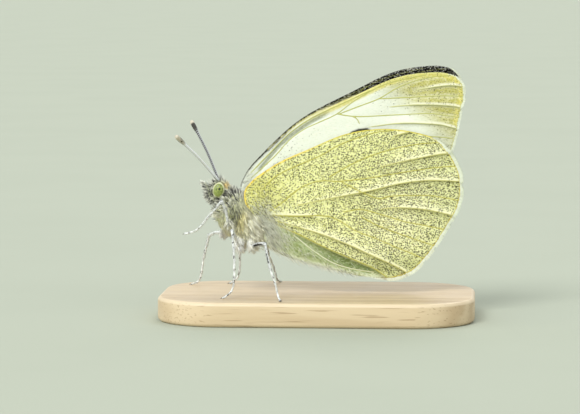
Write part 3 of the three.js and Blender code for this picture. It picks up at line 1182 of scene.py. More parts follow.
@dataclass
class Wing:
    """One wing: its plan placed on a side of the body, with its veins, scales and fringe."""

    plan: Plan
    side: Side
    finish: WingFinish
    scale_finish: CoatFinish
    rise: float = 0.0                  # degrees about the wing's root
    root: Pair = (-9.6, 16.1)
    thickness: float = 0.06
    fringe_layers: int = 3             # in each of the fringe's two rows

    @property
    def node(self) -> str:
        """The frame's node for this wing."""
        return f"{self.plan.layer.value}_{self.side.label}"

    def stand(self, places: Array, out: Array | float = 0.0) -> Array:
        """Places of the plan moved into space on this wing's outer face.

        Args:
            places: Flat places (x, z).
            out: How far outside the face they are.

        Returns:
            Points in space, one row each.
        """
        away = self.plan.away(places) + out
        turn = math.radians(self.rise)
        x, z = (places - self.root).T
        x, z = x * math.cos(turn) - z * math.sin(turn), x * math.sin(turn) + z * math.cos(turn)
        return np.column_stack([x + self.root[0], self.side.value * away, z + self.root[1]])

    def out(self, places: Array, reach: float = 0.05) -> Array:
        """The direction out of the outer face at some places.

        Args:
            places: Flat places (x, z).
            reach: How far apart the compared places are.

        Returns:
            One direction for each place.
        """
        x, z = np.array([reach, 0]), np.array([0, reach])
        normal = np.cross(self.stand(places + z) - self.stand(places - z),
                          self.stand(places + x) - self.stand(places - x))
        return unit(normal) * np.sign(normal[:, 1:2] * self.side.value)

    def on_map(self, places: Array, upper: bool = False) -> Array:
        """Where places are on the wing's own map, its two faces side by side.

        Args:
            places: Flat places (x, z).
            upper: Whether they are on the upper side.

        Returns:
            One place on the map for each.
        """
        low, high = self.plan.rim.min(axis=0), self.plan.rim.max(axis=0)
        share = (places - low) / (high - low) * 0.94 + 0.03
        return np.column_stack([share[:, 0] / 2 + 0.5 * upper, share[:, 1]])

    def pointing(self, places: Array, spread: float, rng: Random) -> Array:
        """Directions in space that lie on the wing and point away from its root.

        Args:
            places: Flat places (x, z).
            spread: How unevenly they point, in radians.
            rng: The random generator.

        Returns:
            One direction for each place.
        """
        heading = unit(places - np.array(self.plan.hub) + 1e-6)
        turn = rng.normal(0, spread, len(places))
        heading = np.column_stack([heading[:, 0] * np.cos(turn) - heading[:, 1] * np.sin(turn),
                                   heading[:, 0] * np.sin(turn) + heading[:, 1] * np.cos(turn)])
        return unit(self.stand(places + heading * 0.05) - self.stand(places))

    def build(self) -> None:
        """Builds the membrane, the veins, the scales and the fringe."""
        self.membrane()
        self.vein_ribs()
        self.fringe()
        self.dust()
        self.down()

    def membrane(self) -> None:
        """The thin closed sheet that stands for the node."""
        plan = self.plan
        places, quads = plan.cells
        outer, inner = self.stand(places), self.stand(places, -self.thickness)
        count = len(places)
        edges = np.concatenate([quads[:, [i, (i + 1) % 4]] for i in range(4)])
        keys = np.sort(edges, axis=1) @ [count, 1]
        _, where, times = np.unique(keys, return_index=True, return_counts=True)
        lip = edges[where[times == 1]]
        wall = np.column_stack([lip[:, 0], lip[:, 0] + count, lip[:, 1] + count, lip[:, 1]])
        if self.side is Side.LEFT:
            faces = [quads, quads[:, ::-1] + count, wall]
        else:
            faces = [quads[:, ::-1], quads + count, wall[:, ::-1]]
        shell = Shell()
        shell.add(np.vstack([outer, inner]), faces,
                  tint=plan.cell_tints,
                  under=np.repeat([1.0, 0.3], count),
                  **{key: np.tile(value, 2) for key, value in plan.cell_values.items()})
        shell.build(f"membrane_{self.node}", self.finish, [self.node])

    def vein_ribs(self) -> None:
        """Half-round ribs along the veins of the outer face."""
        shell = Shell()
        # Ridge ribs are partly tinted with the painted highlight colour of the ridges.
        colours = {Mark.RIDGE: self.finish.light, Mark.VEIN: self.finish.vein,
                   Mark.FOLD: shade(236, 240, 216)}
        for vein in self.plan.veins:
            path = spline(vein.path, max(12, int(len(vein.path) * 0.8)))
            path = path[inside(path, self.plan.margin)]
            share = np.linspace(0, 1, len(path))
            radii = vein.width / 2 * (1.15 - 0.45 * share) * step_up(share, -0.02, 0.06)
            line = self.stand(path, 0.012)
            mixed = np.full(len(path), 0.1 if vein.mark is Mark.FOLD else 0.75)
            tint = blend(colours[vein.mark], self.finish.vein, mixed) * self.finish.albedo
            first = np.cross(unit(line[1] - line[0]), [0, 1.0, 0])
            shell.tube(line, np.maximum(radii, 0.015), self.on_map(path), PATCH, 6, (1, 0.5), first,
                       coat=tint)
        shell.build(f"veins_{self.node}", self.scale_finish)

    def fringe(self) -> None:
        """Long pale scales standing out from the margin in two rows."""
        plan = self.plan
        rng = rng_for(f"fringe {self.node}")
        pick = np.flatnonzero(plan.fringed > 0.02)
        roots, headings, lengths, colours = [], [], [], []
        for back, share in ((0.06, 1.0), (0.12, 0.62)):
            for _ in range(self.fringe_layers):
                slide = rng.uniform(0, 1, len(pick))[:, None]
                nearby = plan.margin[pick] * (1 - slide) + np.roll(plan.margin, -1, axis=0)[pick] * slide
                heading = plan.outward[pick]
                roots.append(nearby - heading * back)
                headings.append(heading + rng.normal(0, 0.13, heading.shape))
                notch = 1 - 0.4 * step_up(ripple(plan.rim[pick], 0.9, "notches"), 0.5, 0.9)
                lengths.append((plan.fringe * share * notch * rng.uniform(0.85, 1.0, len(pick)) + back)
                               * plan.fringed[pick])
                pale = rng.uniform(0.84, 1.0, (len(pick), 1))
                colours.append(np.array(shade(244, 250, 224)) * pale * self.finish.albedo)
        places = np.vstack(roots)
        headings = unit(np.vstack(headings))
        directions = unit(self.stand(places + headings * 0.05) - self.stand(places))
        widths = rng.uniform(0.07, 0.12, len(places))
        strands = Strands(self.stand(places, rng.uniform(-0.05, 0.02, len(places))), directions,
                          np.concatenate(lengths), widths, np.vstack(colours), self.on_map(places))
        shell = Shell()
        strands.scales(shell, self.out(places), 0.0)
        shell.build(f"fringe_{self.node}", self.scale_finish, smooth=False)

    def dust(self) -> None:
        """Single dark scales scattered over the outer face, and pale ones on the dark wing tip."""
        rng = rng_for(f"dust {self.node}")
        shell = Shell()
        for places, sizes, colours, upper in self.plan.scatter(rng):
            out = -self.thickness - 0.006 if upper else 0.006
            lengths = sizes * rng.uniform(0.7, 1.05, len(places))
            strands = Strands(self.stand(places, out), self.pointing(places, 0.5, rng), lengths,
                              sizes * rng.uniform(0.65, 0.9, len(places)), colours * self.finish.albedo,
                              self.on_map(places, upper))
            normals = self.out(places) * (-1 if upper else 1)
            strands.scales(shell, normals, 0.08, 0.1)
        shell.build(f"dusting_{self.node}", self.scale_finish, smooth=False)

    def down(self) -> None:
        """Fine hairs over the base of the wing and along its inner margin."""
        rng = rng_for(f"down {self.node}")
        places, headings, lengths, lifts = self.plan.downy(rng)
        if not len(places):
            return
        flat = unit(self.stand(places + unit(headings) * 0.05) - self.stand(places))
        normals = self.out(places)
        pale = np.where(rng.random((len(places), 1)) < 0.12, 0.3, rng.uniform(0.8, 1.0, (len(places), 1)))
        strands = Strands(self.stand(places, -0.02), unit(flat + normals * lifts[:, None]), lengths,
                          rng.uniform(0.035, 0.065, len(places)), np.array(shade(246, 248, 226)) * pale,
                          self.on_map(places))
        shell = Shell()
        strands.hairs(shell, DOWN * 0.12, outs=normals)
        shell.build(f"down_{self.node}", self.scale_finish)


def scattered(rng: Random, loop: Array, spacing: float) -> Array:
    """Uneven but well-spread places inside a closed flat loop.

    Args:
        rng: The random generator.
        loop: The loop's corners.
        spacing: The middle distance between neighbours.

    Returns:
        The places, one row each.
    """
    low, high = loop.min(axis=0), loop.max(axis=0)
    places = grid_places(low, high, spacing).reshape(-1, 2)
    places = places + rng.uniform(-0.48, 0.48, places.shape) * spacing
    return places[inside(places, loop)]


class HindPlan(Plan):
    """The hindwing: yellow under a dusting of dark scales, its inner part folded round the abdomen."""

    DUST_SPACING = 0.152
    DOWN_SPACING = 0.14
    INNER = ((-6.4, 12.3), (-4.9, 11.5), (-2.0, 10.2), (1.3, 8.6), (4.8, 7.1), (7.2, 6.0), (9.6, 4.3))

    def inner_side(self, places: Array) -> Array:
        """How far below the last long vein places are, in millimetres."""
        line = spline(self.INNER, 60)
        return np.interp(places[:, 0], line[:, 0], line[:, 1]) - places[:, 1]

    def ground(self, places: Array) -> Array:
        """Cream yellow, deeper at the costal base, grey green in the inner part, with painted shade below and
        a painted highlight above each ridge, and painted shade in the valley below the last long vein.

        Args:
            places: Flat places (x, z).

        Returns:
            A colour for each place.
        """
        x, z = places.T
        signed = self.along_ridges(places)[0]
        brink = step_up(self.to_edge(places), 0.3, 0.12) * step_up(x, 2, -3) * step_up(z, 13, 14)
        base = layered(
            shade(248, 250, 178),
            ((254, 254, 200), step_up(x - 0.5 * z, -4, 6)),
            ((244, 248, 186), step_up(z, 12, 6)),
            ((232, 236, 168), 0.7 * step_up(x, 9, 16)),
            ((224, 222, 126), 0.85 * bump_at(places, (-7.4, 15.6), 3.2)),
            # Painted shade in a broad band below each ridge, and a painted highlight in a band above it.
            ((206, 210, 138), 0.55 * step_up(signed, -1.5, -0.2) * (signed < 0)),
            ((255, 254, 212), 0.6 * step_up(signed, 1.2, 0.1) * (signed > 0)),
            ((250, 216, 62), brink),
            ((206, 208, 160), 0.7 * bump_at(places, (-6.5, 13.0), 1.6)))
        fold = self.inner_side(places)
        # Olive just below the last long vein: painted shade in the valley there.
        deep = step_up(x, -2, 3) * step_up(x, 9.5, 6) * step_up(fold, 2.2, 0.7)
        green = layered(
            shade(166, 181, 128),
            ((118, 137, 82), 0.85 * deep),
            ((206, 212, 180), step_up(x, -2.5, -6.0)),
            ((214, 222, 184), step_up(self.to_edge(places), 0.7, 0.2)))
        corner = step_up(x - 0.4 * z, 1.5, 5.5) * step_up(z, 8.6, 6.6)
        base = layered(
            base,
            ((176, 184, 112), 0.55 * corner),
            ((150, 112, 62), bump_at(places, (10.4, 5.25), 0.28)))
        return blend(base, green, step_up(fold, -0.05, 0.25))

    def upper(self, places: Array) -> Array:
        """White, dusted grey at the base, with a dark mark at the front edge.

        Args:
            places: Flat places (x, z).

        Returns:
            A colour for each place.
        """
        grey = bump_at(places, (-6.4, 12.8), 5.0)
        mark = step_up(2.2 - np.linalg.norm(places - [7.5, 22.4], axis=1), 0, 0.6)
        return layered(shade(244, 246, 230), ((176, 178, 168), grey), ((40, 38, 32), mark))

    def lined(self, places: Array) -> Array:
        """The edge line runs along the front edge and the outer margin, not the inner one."""
        return step_up(self.inner_side(places), 0.3, -0.2) * step_up(places[:, 0], -3, 2)

    def relief(self, places: Array) -> Array:
        """Waves of the membrane, and the channel that the inner part folds round.

        Args:
            places: Flat places (x, z).

        Returns:
            One height for each place.
        """
        fold = self.inner_side(places)
        channel = -0.35 * step_up(fold, 0.0, 0.5) * step_up(fold, 1.6, 0.7)
        root = -0.55 * bump_at(places, (-7.4, 11.8), 2.0)
        return super().relief(places) + root + channel * step_up(places[:, 0], -5, -1)

    def scatter(self, rng: Random) -> list[tuple[Array, Array, Array, bool]]:
        """Dark scales over the yellow part, thinner by the veins, at the costal base and in the painted
        highlight above each ridge.

        Args:
            rng: The random generator.

        Returns:
            For each layer its places, sizes and colours, and whether it is on the upper side.
        """
        places = scattered(rng, self.margin, self.DUST_SPACING)
        signed = self.along_ridges(places)[0]
        chance = 0.64 + 0.1 * ripple(places, 2.2, "dusting") + 0.12 * ripple(places, 0.7, "clusters")
        chance *= 1 - 0.75 * step_up(self.to_veins(places), 0.13, 0.07)
        # Fewer dark scales in the band just above each ridge, which keeps the painted highlight there clear.
        chance *= 1 - 0.8 * ((signed > 0) & (signed < 0.32))
        chance *= 1 - 0.3 * bump_at(places, (-3.5, 16.5), 4.0)
        chance += 0.25 * bump_at(places, (6.5, 13.8), 2.6) + 0.2 * bump_at(places, (11.5, 15.8), 2.0)
        fold = step_up(self.inner_side(places), -0.1, 0.1)
        chance *= 1 - 0.6 * fold
        chance *= step_up(self.to_edge(places), 0.1, 0.25)
        keep = rng.random(len(places)) < chance
        places, fold = places[keep], fold[keep]
        faint = rng.random((len(places), 1)) < 0.1 + 0.5 * fold[:, None]
        tone = np.where(faint, rng.uniform(1.8, 4.0, faint.shape), rng.uniform(0.12, 0.8, faint.shape))
        colours = np.array(shade(62, 62, 28)) * tone
        sizes = rng.uniform(0.12, 0.19, len(places)) * (1 - 0.3 * fold)
        return [(places, sizes, colours, False)]

    def downy(self, rng: Random) -> tuple[Array, Array, Array, Array]:
        """Hairs over the root, and longer ones along the inner margin, all swept back and down.

        Args:
            rng: The random generator.

        Returns:
            The places, headings and lengths, and how far the hairs stand out.
        """
        places = scattered(rng, self.margin, self.DOWN_SPACING)
        fold = self.inner_side(places)
        near = bump_at(places, (-7.0, 12.0), 2.0) + 0.7 * bump_at(places, (-6.2, 10.0), 2.2)
        inner = step_up(places[:, 0], 7, 3) * step_up(fold, 0.3, 1.2)
        brim = step_up(places[:, 0], 6, 2) * step_up(fold, 0.8, 1.5) * step_up(self.to_edge(places), 0.6, 0.1)
        keep = rng.random(len(places)) < 0.85 * near + 0.16 * inner + brim
        places, near, brim = places[keep], near[keep], brim[keep]
        heading = blend(np.array([0.7, -0.7]), np.array([0.75, -0.65]), brim)
        heading = heading + rng.normal(0, 0.16, heading.shape)
        lengths = (0.6 + 0.5 * near + 0.4 * brim) * rng.uniform(0.7, 1.2, len(places))
        return places, heading, lengths, rng.uniform(0.12, 0.4, len(places)) + 0.1 * near


class ForePlan(Plan):
    """The forewing: white, pale yellow at its tip below and black there above."""

    DUST_SPACING = 0.2
    DOWN_SPACING = 0.16
    FLECK_SPACING = 0.14                   # of the pale scales on the black tip
    SPOT = (5.7, 21.73)
    GROOVE = ((-7.2, 18.3), (-6.3, 19.45), (-4.9, 21.1), (-3.4, 22.45), (-2.3, 23.25), (-1.1, 24.05),
              (0.3, 24.8), (1.3, 25.25))

    def in_spot(self, places: Array) -> Array:
        """How far places belong to the dark spot that the hindwing half hides, from 0 to 1."""
        reach = np.linalg.norm((places - self.SPOT) * [0.8, 1], axis=1) + 0.05 * ripple(places, 0.7, "spot")
        return step_up(reach, 1.85, 1.65)

    def tip(self, places: Array) -> Array:
        """How far places belong to the yellow tip and outer margin, from 0 to 1.

        Args:
            places: Flat places (x, z).

        Returns:
            One share for each place.
        """
        x, z = places.T
        start = np.interp(z, [21.5, 24.5, 27.0, 29.2], [16.2, 13.6, 10.6, 7.4])
        return step_up(x - start, -2.6, 3.4)

    def ground(self, places: Array) -> Array:
        """White with the yellow tip, painted shade in the groove near the front edge, and one dark spot.

        Args:
            places: Flat places (x, z).

        Returns:
            A colour for each place.
        """
        tip = 1.06 * self.tip(places)
        cloud = step_up(ripple(places, 1.6, "tip"), 0.2, 1.2)
        pale = 0.4 * step_up(self.to_veins(places), 0.5, 0.12) + 0.15 * cloud
        grey = 0.45 * bump_at(places, (15.4, 21.6), 1.8) + 0.22 * bump_at(places, (9.0, 28.0), 2.0)
        groove = step_up(path_distance(places, spline(self.GROOVE, 40)), 0.3, 0.12)
        edge = path_distance(places, self.front)
        x = places[:, 0]
        return layered(
            shade(243, 248, 230),
            ((194, 190, 104), 0.93 * tip),
            ((240, 240, 204), pale * tip),
            ((172, 176, 148), grey),
            ((232, 238, 224), step_up(edge, 1.2, 0.8) * step_up(x, 3, 0)),
            ((222, 213, 112), 0.85 * step_up(edge, 0.8, 0.5) * step_up(x, -5, 3)),
            # Grey along the groove: painted shade there.
            ((138, 146, 118), 0.75 * groove * step_up(x, 2.0, 0.0)),
            ((38, 37, 30), self.in_spot(places)),
            ((30, 28, 22), step_up(edge, 0.2, 0.1) * step_up(x, -2.5, -5)))

    @cached_property
    def front(self) -> Array:
        """The margin along the front edge and round the tip.

        Returns:
            Its points in order.
        """
        x, z = self.margin.T
        ahead = np.flatnonzero(z > np.interp(x, [-10, 18, 19], [16.0, 24.5, 24.5]))
        begin = np.flatnonzero(np.diff(ahead) > 1)
        return self.margin[np.roll(ahead, -1 - begin[0]) if len(begin) else ahead]

    def upper(self, places: Array) -> Array:
        """White with a black tip that runs along the front edge, and grey dusting at the root.

        Args:
            places: Flat places (x, z).

        Returns:
            A colour for each place.
        """
        x = places[:, 0]
        edge = path_distance(places, self.front)
        wide = step_up(x, -1.5, 4.5)
        band = 0.24 + 0.3 * wide + 4.0 * step_up(x, 4, 17) + 0.15 * wide * ripple(places, 1.2, "band")
        return layered(
            shade(246, 248, 236),
            ((150, 152, 148), bump_at(places, (-8.5, 16.2), 3.5)),
            ((226, 221, 150), step_up(edge, 1.6, 0.9) * step_up(x, 8, 4)),
            ((9, 8, 6), step_up(band - edge, -0.04 - 0.1 * wide, 0.04 + 0.16 * wide)))

    def lined(self, places: Array) -> Array:
        """The edge line is strongest at the tip and fades out along the front edge."""
        return 0.65 * self.tip(places) + 0.35 * step_up(places[:, 0], 2, 7)

    def relief(self, places: Array) -> Array:
        """Waves of the membrane, and the groove between the first long veins."""
        groove = path_distance(places, spline(self.GROOVE, 40))
        return 0.6 * super().relief(places) - 0.14 * step_up(groove, 0.5, 0.0)

    def scatter(self, rng: Random) -> list[tuple[Array, Array, Array, bool]]:
        """A thin dusting on the yellow tip and the root, and pale scales on the black tip above.

        Args:
            rng: The random generator.

        Returns:
            For each layer its places, sizes and colours, and whether it is on the upper side.
        """
        places = scattered(rng, self.margin, self.DUST_SPACING)
        chance = 0.5 * self.tip(places) + 0.2 * bump_at(places, (8.5, 27.6), 1.6)
        chance += 0.3 * bump_at(places, (-4.0, 20.4), 2.6)
        chance += 0.9 * self.in_spot(places)
        chance *= 1 - 0.8 * step_up(self.to_veins(places), 0.12, 0.06)
        below = places[rng.random(len(places)) < chance]
        tone = rng.uniform(0.4, 1.4, (len(below), 1))
        dark = np.array(shade(92, 90, 46)) * tone
        places = scattered(rng, self.margin, self.FLECK_SPACING)
        edge = path_distance(places, self.front)
        near = step_up(edge, 1.6, 1.0) * (0.05 + 0.08 * step_up(places[:, 0], 3, 12))
        near += 0.45 * step_up(edge, 0.26, 0.12) * step_up(places[:, 0], 3, 12)
        near *= step_up(places[:, 0], 3, 7) * (self.to_edge(places) > 0.06)
        above = places[rng.random(len(places)) < near]
        pale = np.array(shade(200, 201, 200)) * rng.uniform(0.4, 1.5, (len(above), 1))
        return [(below, rng.uniform(0.08, 0.14, len(below)), dark, False),
                (above, rng.uniform(0.08, 0.13, len(above)), pale, True)]

    def downy(self, rng: Random) -> tuple[Array, Array, Array, Array]:
        """A few hairs over the root.

        Args:
            rng: The random generator.

        Returns:
            The places, headings and lengths, and how far the hairs stand out.
        """
        places = scattered(rng, self.margin, self.DOWN_SPACING)
        near = bump_at(places, (-9.0, 16.0), 1.3)
        keep = rng.random(len(places)) < 0.9 * near
        places = places[keep]
        heading = np.array([0.7, 0.5]) + rng.normal(0, 0.2, places.shape)
        return places, heading, rng.uniform(0.5, 0.9, len(places)), rng.uniform(0.2, 0.5, len(places))


def veins(mark: Mark, *lines: Sequence[Pair], width: float = 0.12) -> tuple[Vein, ...]:
    """Several veins of one kind."""
    return tuple(Vein(mark, tuple(line), width) for line in lines)


HIND_VEINS = (
    *veins(Mark.RIDGE,
           [(-2.5, 13.9), (1.7, 14.8), (6.2, 15.7), (10.2, 16.65), (13.2, 17.05), (15.8, 17.05),
            (18.0, 16.95)],
           [(7.8, 18.7), (10.1, 19.3), (14.4, 20.2), (16.8, 20.5)],
           [(7.9, 13.5), (9.8, 13.66), (12.2, 13.58), (14.4, 13.27), (16.9, 12.7)],
           [(-6.0, 12.2), (-1.5, 11.0), (1.3, 10.1), (4.4, 8.87), (6.0, 8.1), (8.0, 7.2), (10.0, 6.25),
            (11.6, 5.3)],
           [(9.3, 22.5), (10.7, 22.9), (11.8, 23.1)],
           [(-7.2, 12.9), (-6.0, 12.75), (-3.1, 12.65), (-0.6, 12.55)]),
    *veins(Mark.VEIN,
           [(-6.6, 16.2), (-4.5, 17.9), (0.2, 20.0), (2.9, 21.5), (6.9, 22.9), (9.4, 23.2)],
           [(1.4, 17.4), (4.2, 19.0), (7.5, 20.4), (11.5, 21.4), (15.1, 21.8)],
           [(-6.2, 13.0), (-4.3, 14.3), (-2.2, 16.0), (0.2, 16.9), (2.8, 16.9), (6.9, 17.4), (10.9, 18.1),
            (15.0, 18.7), (17.5, 18.8)],
           [(2.8, 16.9), (5.2, 15.7), (7.5, 14.8), (9.3, 15.1), (13.4, 15.2), (15.2, 15.0), (17.9, 14.5)],
           [(3.3, 13.1), (5.5, 13.4), (8.5, 12.6), (10.9, 11.9), (13.1, 11.5), (16.1, 10.9)],
           [(5.4, 12.5), (7.3, 11.5), (9.3, 10.7), (12.5, 9.6), (14.7, 8.9)],
           [(-6.2, 12.6), (-3.1, 12.6), (1.5, 12.5), (4.7, 10.8), (7.3, 9.8), (9.6, 8.8), (11.6, 8.0),
            (13.5, 7.2)],
           HindPlan.INNER),
    *veins(Mark.FOLD, [(-3.0, 10.3), (-0.6, 8.4), (1.8, 6.9), (4.2, 6.1), (7.0, 5.6)], width=0.12),
)
FORE_VEINS = (
    *veins(Mark.RIDGE,
           [(12.0, 28.2), (15.1, 28.7), (16.7, 28.8), (18.1, 28.6)],
           [(8.8, 26.1), (12.4, 26.4), (16.2, 26.3), (17.9, 26.0)],
           [(6.3, 23.6), (10.3, 24.1), (14.6, 24.0), (16.2, 23.7), (17.4, 23.4)], width=0.13),
    *veins(Mark.VEIN,
           [(-8.3, 17.2), (-5.5, 19.8), (-3.6, 21.9), (-1.7, 23.3), (0.2, 24.2), (2.3, 25.2), (4.6, 26.9),
            (7.6, 28.6), (10.1, 29.4), (13.4, 30.1)],
           [(2.6, 25.2), (4.9, 26.1), (7.5, 27.1), (9.7, 28.4), (11.9, 29.3), (14.0, 29.8), (16.4, 30.0)],
           [(7.5, 27.1), (11.4, 27.3), (15.6, 27.5), (18.1, 27.4)],
           [(2.3, 25.2), (4.9, 24.9), (9.2, 25.1), (13.5, 25.3), (15.6, 25.1), (17.7, 24.8)],
           [(4.2, 24.95), (4.8, 24.6), (5.15, 24.0)],
           [(6.0, 22.3), (10.0, 22.6), (15.1, 22.4), (17.2, 22.1)],
           [(-8.4, 17.8), (-5.9, 20.4), (-3.4, 22.9), (-0.6, 24.8), (3.0, 26.5), (6.4, 28.1)], width=0.12),
)


# ---------------------------------------------------------------- body


@dataclass
class Body:
    """Head, thorax, abdomen and the legs' first joints under one skin, with their coat."""

    skin_finish: CoatFinish
    coat_finish: CoatFinish
    swell: float = 0.13        # fills the narrow cuts between the frame's nodes
    voxel: float = 0.17
    waist: float = 10.0        # a station along the spine, counted from the face
    thorax_hairs: int = 8000
    flank_hairs: int = 520
    abdomen_hairs: int = 5200
    bristles: int = 2000

    AMBER = (-11.4, 0, 16.25)  # the patch of orange hair behind the eye

    @property
    def nodes(self) -> list[str]:
        """The frame's nodes of flesh."""
        coxae = [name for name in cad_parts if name.endswith("_coxa")]
        return ["head", "thorax", "abdomen", *sorted(coxae)]

    @cached_property
    def spine(self) -> Array:
        """The line from the face through the thorax to the tail's tip.

        Returns:
            Its points from front to back.
        """
        head, thorax = node_middle("head"), node_middle("thorax")
        tail = middle_line("abdomen", thorax, 5)
        face, end = head + (head - thorax) * 0.35, tail[-1] + (tail[-1] - tail[-2]) * 0.3
        return np.vstack([face, head, thorax, tail, end])

    def station(self, points: Array) -> tuple[Array, Array]:
        """Where points are along the spine, in millimetres, and round it, from 0 to 1.

        Args:
            points: The places, one row each.

        Returns:
            The distance along the spine, and the share of a turn round it.
        """
        best = np.full(len(points), np.inf)
        along, turn, run = np.zeros(len(points)), np.zeros(len(points)), 0.0
        for start, end in zip(self.spine, self.spine[1:]):
            step = end - start
            length = float(np.linalg.norm(step))
            share = np.clip((points - start) @ step / length**2, 0, 1)
            out = points - start - share[:, None] * step
            distance = np.linalg.norm(out, axis=1)
            near = distance < best
            up = np.cross(step / length, [0, -1.0, 0])
            best = np.where(near, distance, best)
            along = np.where(near, run + share * length, along)
            turn = np.where(near, np.arctan2(out[:, 1], out @ up) / (2 * math.pi) + 0.5, turn)
            run += length
        return along, turn

    @property
    def length(self) -> float:
        """The spine's length."""
        return float(np.linalg.norm(np.diff(self.spine, axis=0), axis=1).sum())

    def on_map(self, points: Array) -> Array:
        """Where points are on the skin's own unwrap: along the spine and round it."""
        along, turn = self.station(points)
        return np.column_stack([0.02 + 0.95 * along / self.length, 0.02 + 0.95 * turn])

    def depth(self, points: Array) -> Array:
        """How thick the coat is, and so how far the skin lies inside the frame's solids.

        Args:
            points: The places, one row each.

        Returns:
            One depth for each point.
        """
        along, _ = self.station(points)
        depth = 0.34 + 0.12 * bump_at(along[:, None], (6.8,), 3.0)
        depth = depth * (1 - 0.6 * step_up(along, self.waist, self.waist + 2.5))
        return np.where(self.on_coxa(points) > 0.5, 0.16, depth)

    def on_coxa(self, points: Array) -> Array:
        """1 on the first joint of a leg, 0 elsewhere.

        Args:
            points: The places, one row each.

        Returns:
            One share for each point.
        """
        found = np.zeros(len(points))
        for name in self.nodes[3:]:
            line = middle_line(name, node_middle("thorax"), 4)
            found = np.maximum(found, step_up(path_distance(points, line), 0.75, 0.55))
        out = np.linalg.norm((points - node_middle("thorax")) @ rotation("Y", -48), axis=1)
        return found * step_up(out, 1.8, 2.4)

    @cached_property
    def skin(self) -> tuple[Array, Array, Array]:
        """The one skin: its corners, the directions out of it, and its triangles.

        Returns:
            The corners, the directions and the triangles.
        """
        work = bmesh.new()
        for node in self.nodes:
            work.from_mesh(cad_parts[node].data)
        bmesh.ops.remove_doubles(work, verts=work.verts, dist=1e-6)
        work.normal_update()
        for vertex in work.verts:
            vertex.co = vertex.co / MM + vertex.normal * self.swell
        mesh = bpy.data.meshes.new("flesh")
        work.to_mesh(mesh)
        work.free()
        flesh = bpy.data.objects.new("flesh", mesh)
        bpy.context.scene.collection.objects.link(flesh)
        remesh = flesh.modifiers.new("fuse", "REMESH")
        remesh.mode, remesh.voxel_size = "VOXEL", self.voxel
        relax = flesh.modifiers.new("relax", "SMOOTH")
        relax.iterations = 12
        shape = flesh.evaluated_get(bpy.context.evaluated_depsgraph_get()).to_mesh()
        shape.calc_loop_triangles()
        points = np.array([vertex.co for vertex in shape.vertices])
        normals = np.array([vertex.normal for vertex in shape.vertices])
        triangles = np.array([face.vertices[:] for face in shape.loop_triangles])
        bpy.data.objects.remove(flesh)
        bpy.data.meshes.remove(mesh)
        points = points - normals * (self.swell + self.depth(points))[:, None]
        return points, normals, triangles

    @cached_property
    def centres(self) -> Array:
        """The middle of each of the skin's triangles."""
        a, b, c = self.skin[0][self.skin[2]].transpose(1, 0, 2)
        return (a + b + c) / 3

    def sample(self, count: int, weights: Array, rng: Random) -> tuple[Array, Array]:
        """Random places on the skin.

        Args:
            count: How many places to pick.
            weights: How likely a place is in each triangle.
            rng: The random generator.

        Returns:
            The places and the directions out of the skin there.
        """
        points, normals, triangles = self.skin
        a, b, c = points[triangles].transpose(1, 0, 2)
        area = np.linalg.norm(np.cross(b - a, c - a), axis=1) * weights
        pick = rng.choice(len(triangles), count, p=area / area.sum())
        share = rng.dirichlet([1, 1, 1], count)
        places = np.einsum("nk,nkx->nx", share, points[triangles[pick]])
        return places, unit(np.einsum("nk,nkx->nx", share, normals[triangles[pick]]))

    def colour(self, points: Array) -> Array:
        """The coat's colour at some points, the same for skin and hair.

        Args:
            points: The places, one row each.

        Returns:
            A colour for each point.
        """
        along, _ = self.station(points)
        x, y, z = points.T
        side = np.abs(y)
        flat = points * [1, 0, 1]
        crown = step_up(z, 10.0, 9.3) * step_up(along, self.waist, self.waist - 1)
        belly = step_up(along, self.waist, self.waist + 1.5) * step_up(z + 0.25 * x, 8.8, 7.6)
        base = layered(
            np.tile(shade(252, 249, 208), (len(points), 1)),
            ((216, 220, 170), step_up(along, 5.4, 3.6)),
            ((206, 206, 160), 0.5 * bump_at(flat, (-10.9, 0, 14.9), 0.9)),
            # Olive between the foreleg and the chest: painted shade.
            ((168, 172, 104), 0.8 * bump_at(flat * [1, 1, 0.7], (-10.4, 0, 9.0), 0.75)),
            ((246, 230, 140), 0.8 * bump_at(flat * [1, 1, 0.4], (-9.5, 0, 5.0), 0.45)),
            ((255, 206, 56), bump_at(flat, self.AMBER, 0.42)),
            ((204, 218, 214), 0.6 * bump_at(flat, (-7.3, 0, 10.9), 0.6)),
            ((250, 250, 232), 0.9 * crown),
            ((196, 200, 182), 0.6 * step_up(side, 1.2, 0.3) * step_up(z + 0.9 * x, 2.0, 4.5)),
            ((232, 234, 214), belly),
            ((250, 250, 232), 0.8 * self.on_coxa(points)))
        tone = 1 + 0.12 * ripple(points, 1.6, "coat tone")
        return np.clip(base * tone[:, None], 0, 1)

    def lie(self, points: Array, normals: Array, lift: float, rng: Random) -> Array:
        """The direction of the hair: back along the body and down its sides, partly standing out.

        Args:
            points: The hairs' roots.
            normals: The directions out of the skin.
            lift: How far the hair stands out.
            rng: The random generator.

        Returns:
            One direction for each root.
        """
        along, _ = self.station(points)
        back = np.tile(unit(self.spine[-1] - self.spine[3]), (len(points), 1))
        steep = unit(self.spine[2] - self.spine[1]) * 0.6 + DOWN
        flow = blend(unit(steep), back, step_up(along, 8.0, 11.5))
        swirl = np.column_stack([ripple(points, 1.4, f"swirl {axis}") for axis in "xyz"])
        flow = flow + 0.35 * swirl + rng.normal(0, 0.14, points.shape)
        flow = flow - normals * np.sum(flow * normals, axis=1)[:, None]
        return unit(unit(flow) + normals * lift)

    def build(self) -> None:
        """Builds the skin and its coats."""
        points, _, triangles = self.skin
        shell = Shell()
        shell.add(points, [triangles], coat=self.colour(points))
        shell.build("skin", self.skin_finish, self.nodes)
        self.thorax_coat()
        self.abdomen_coat()
        self.head_coat()

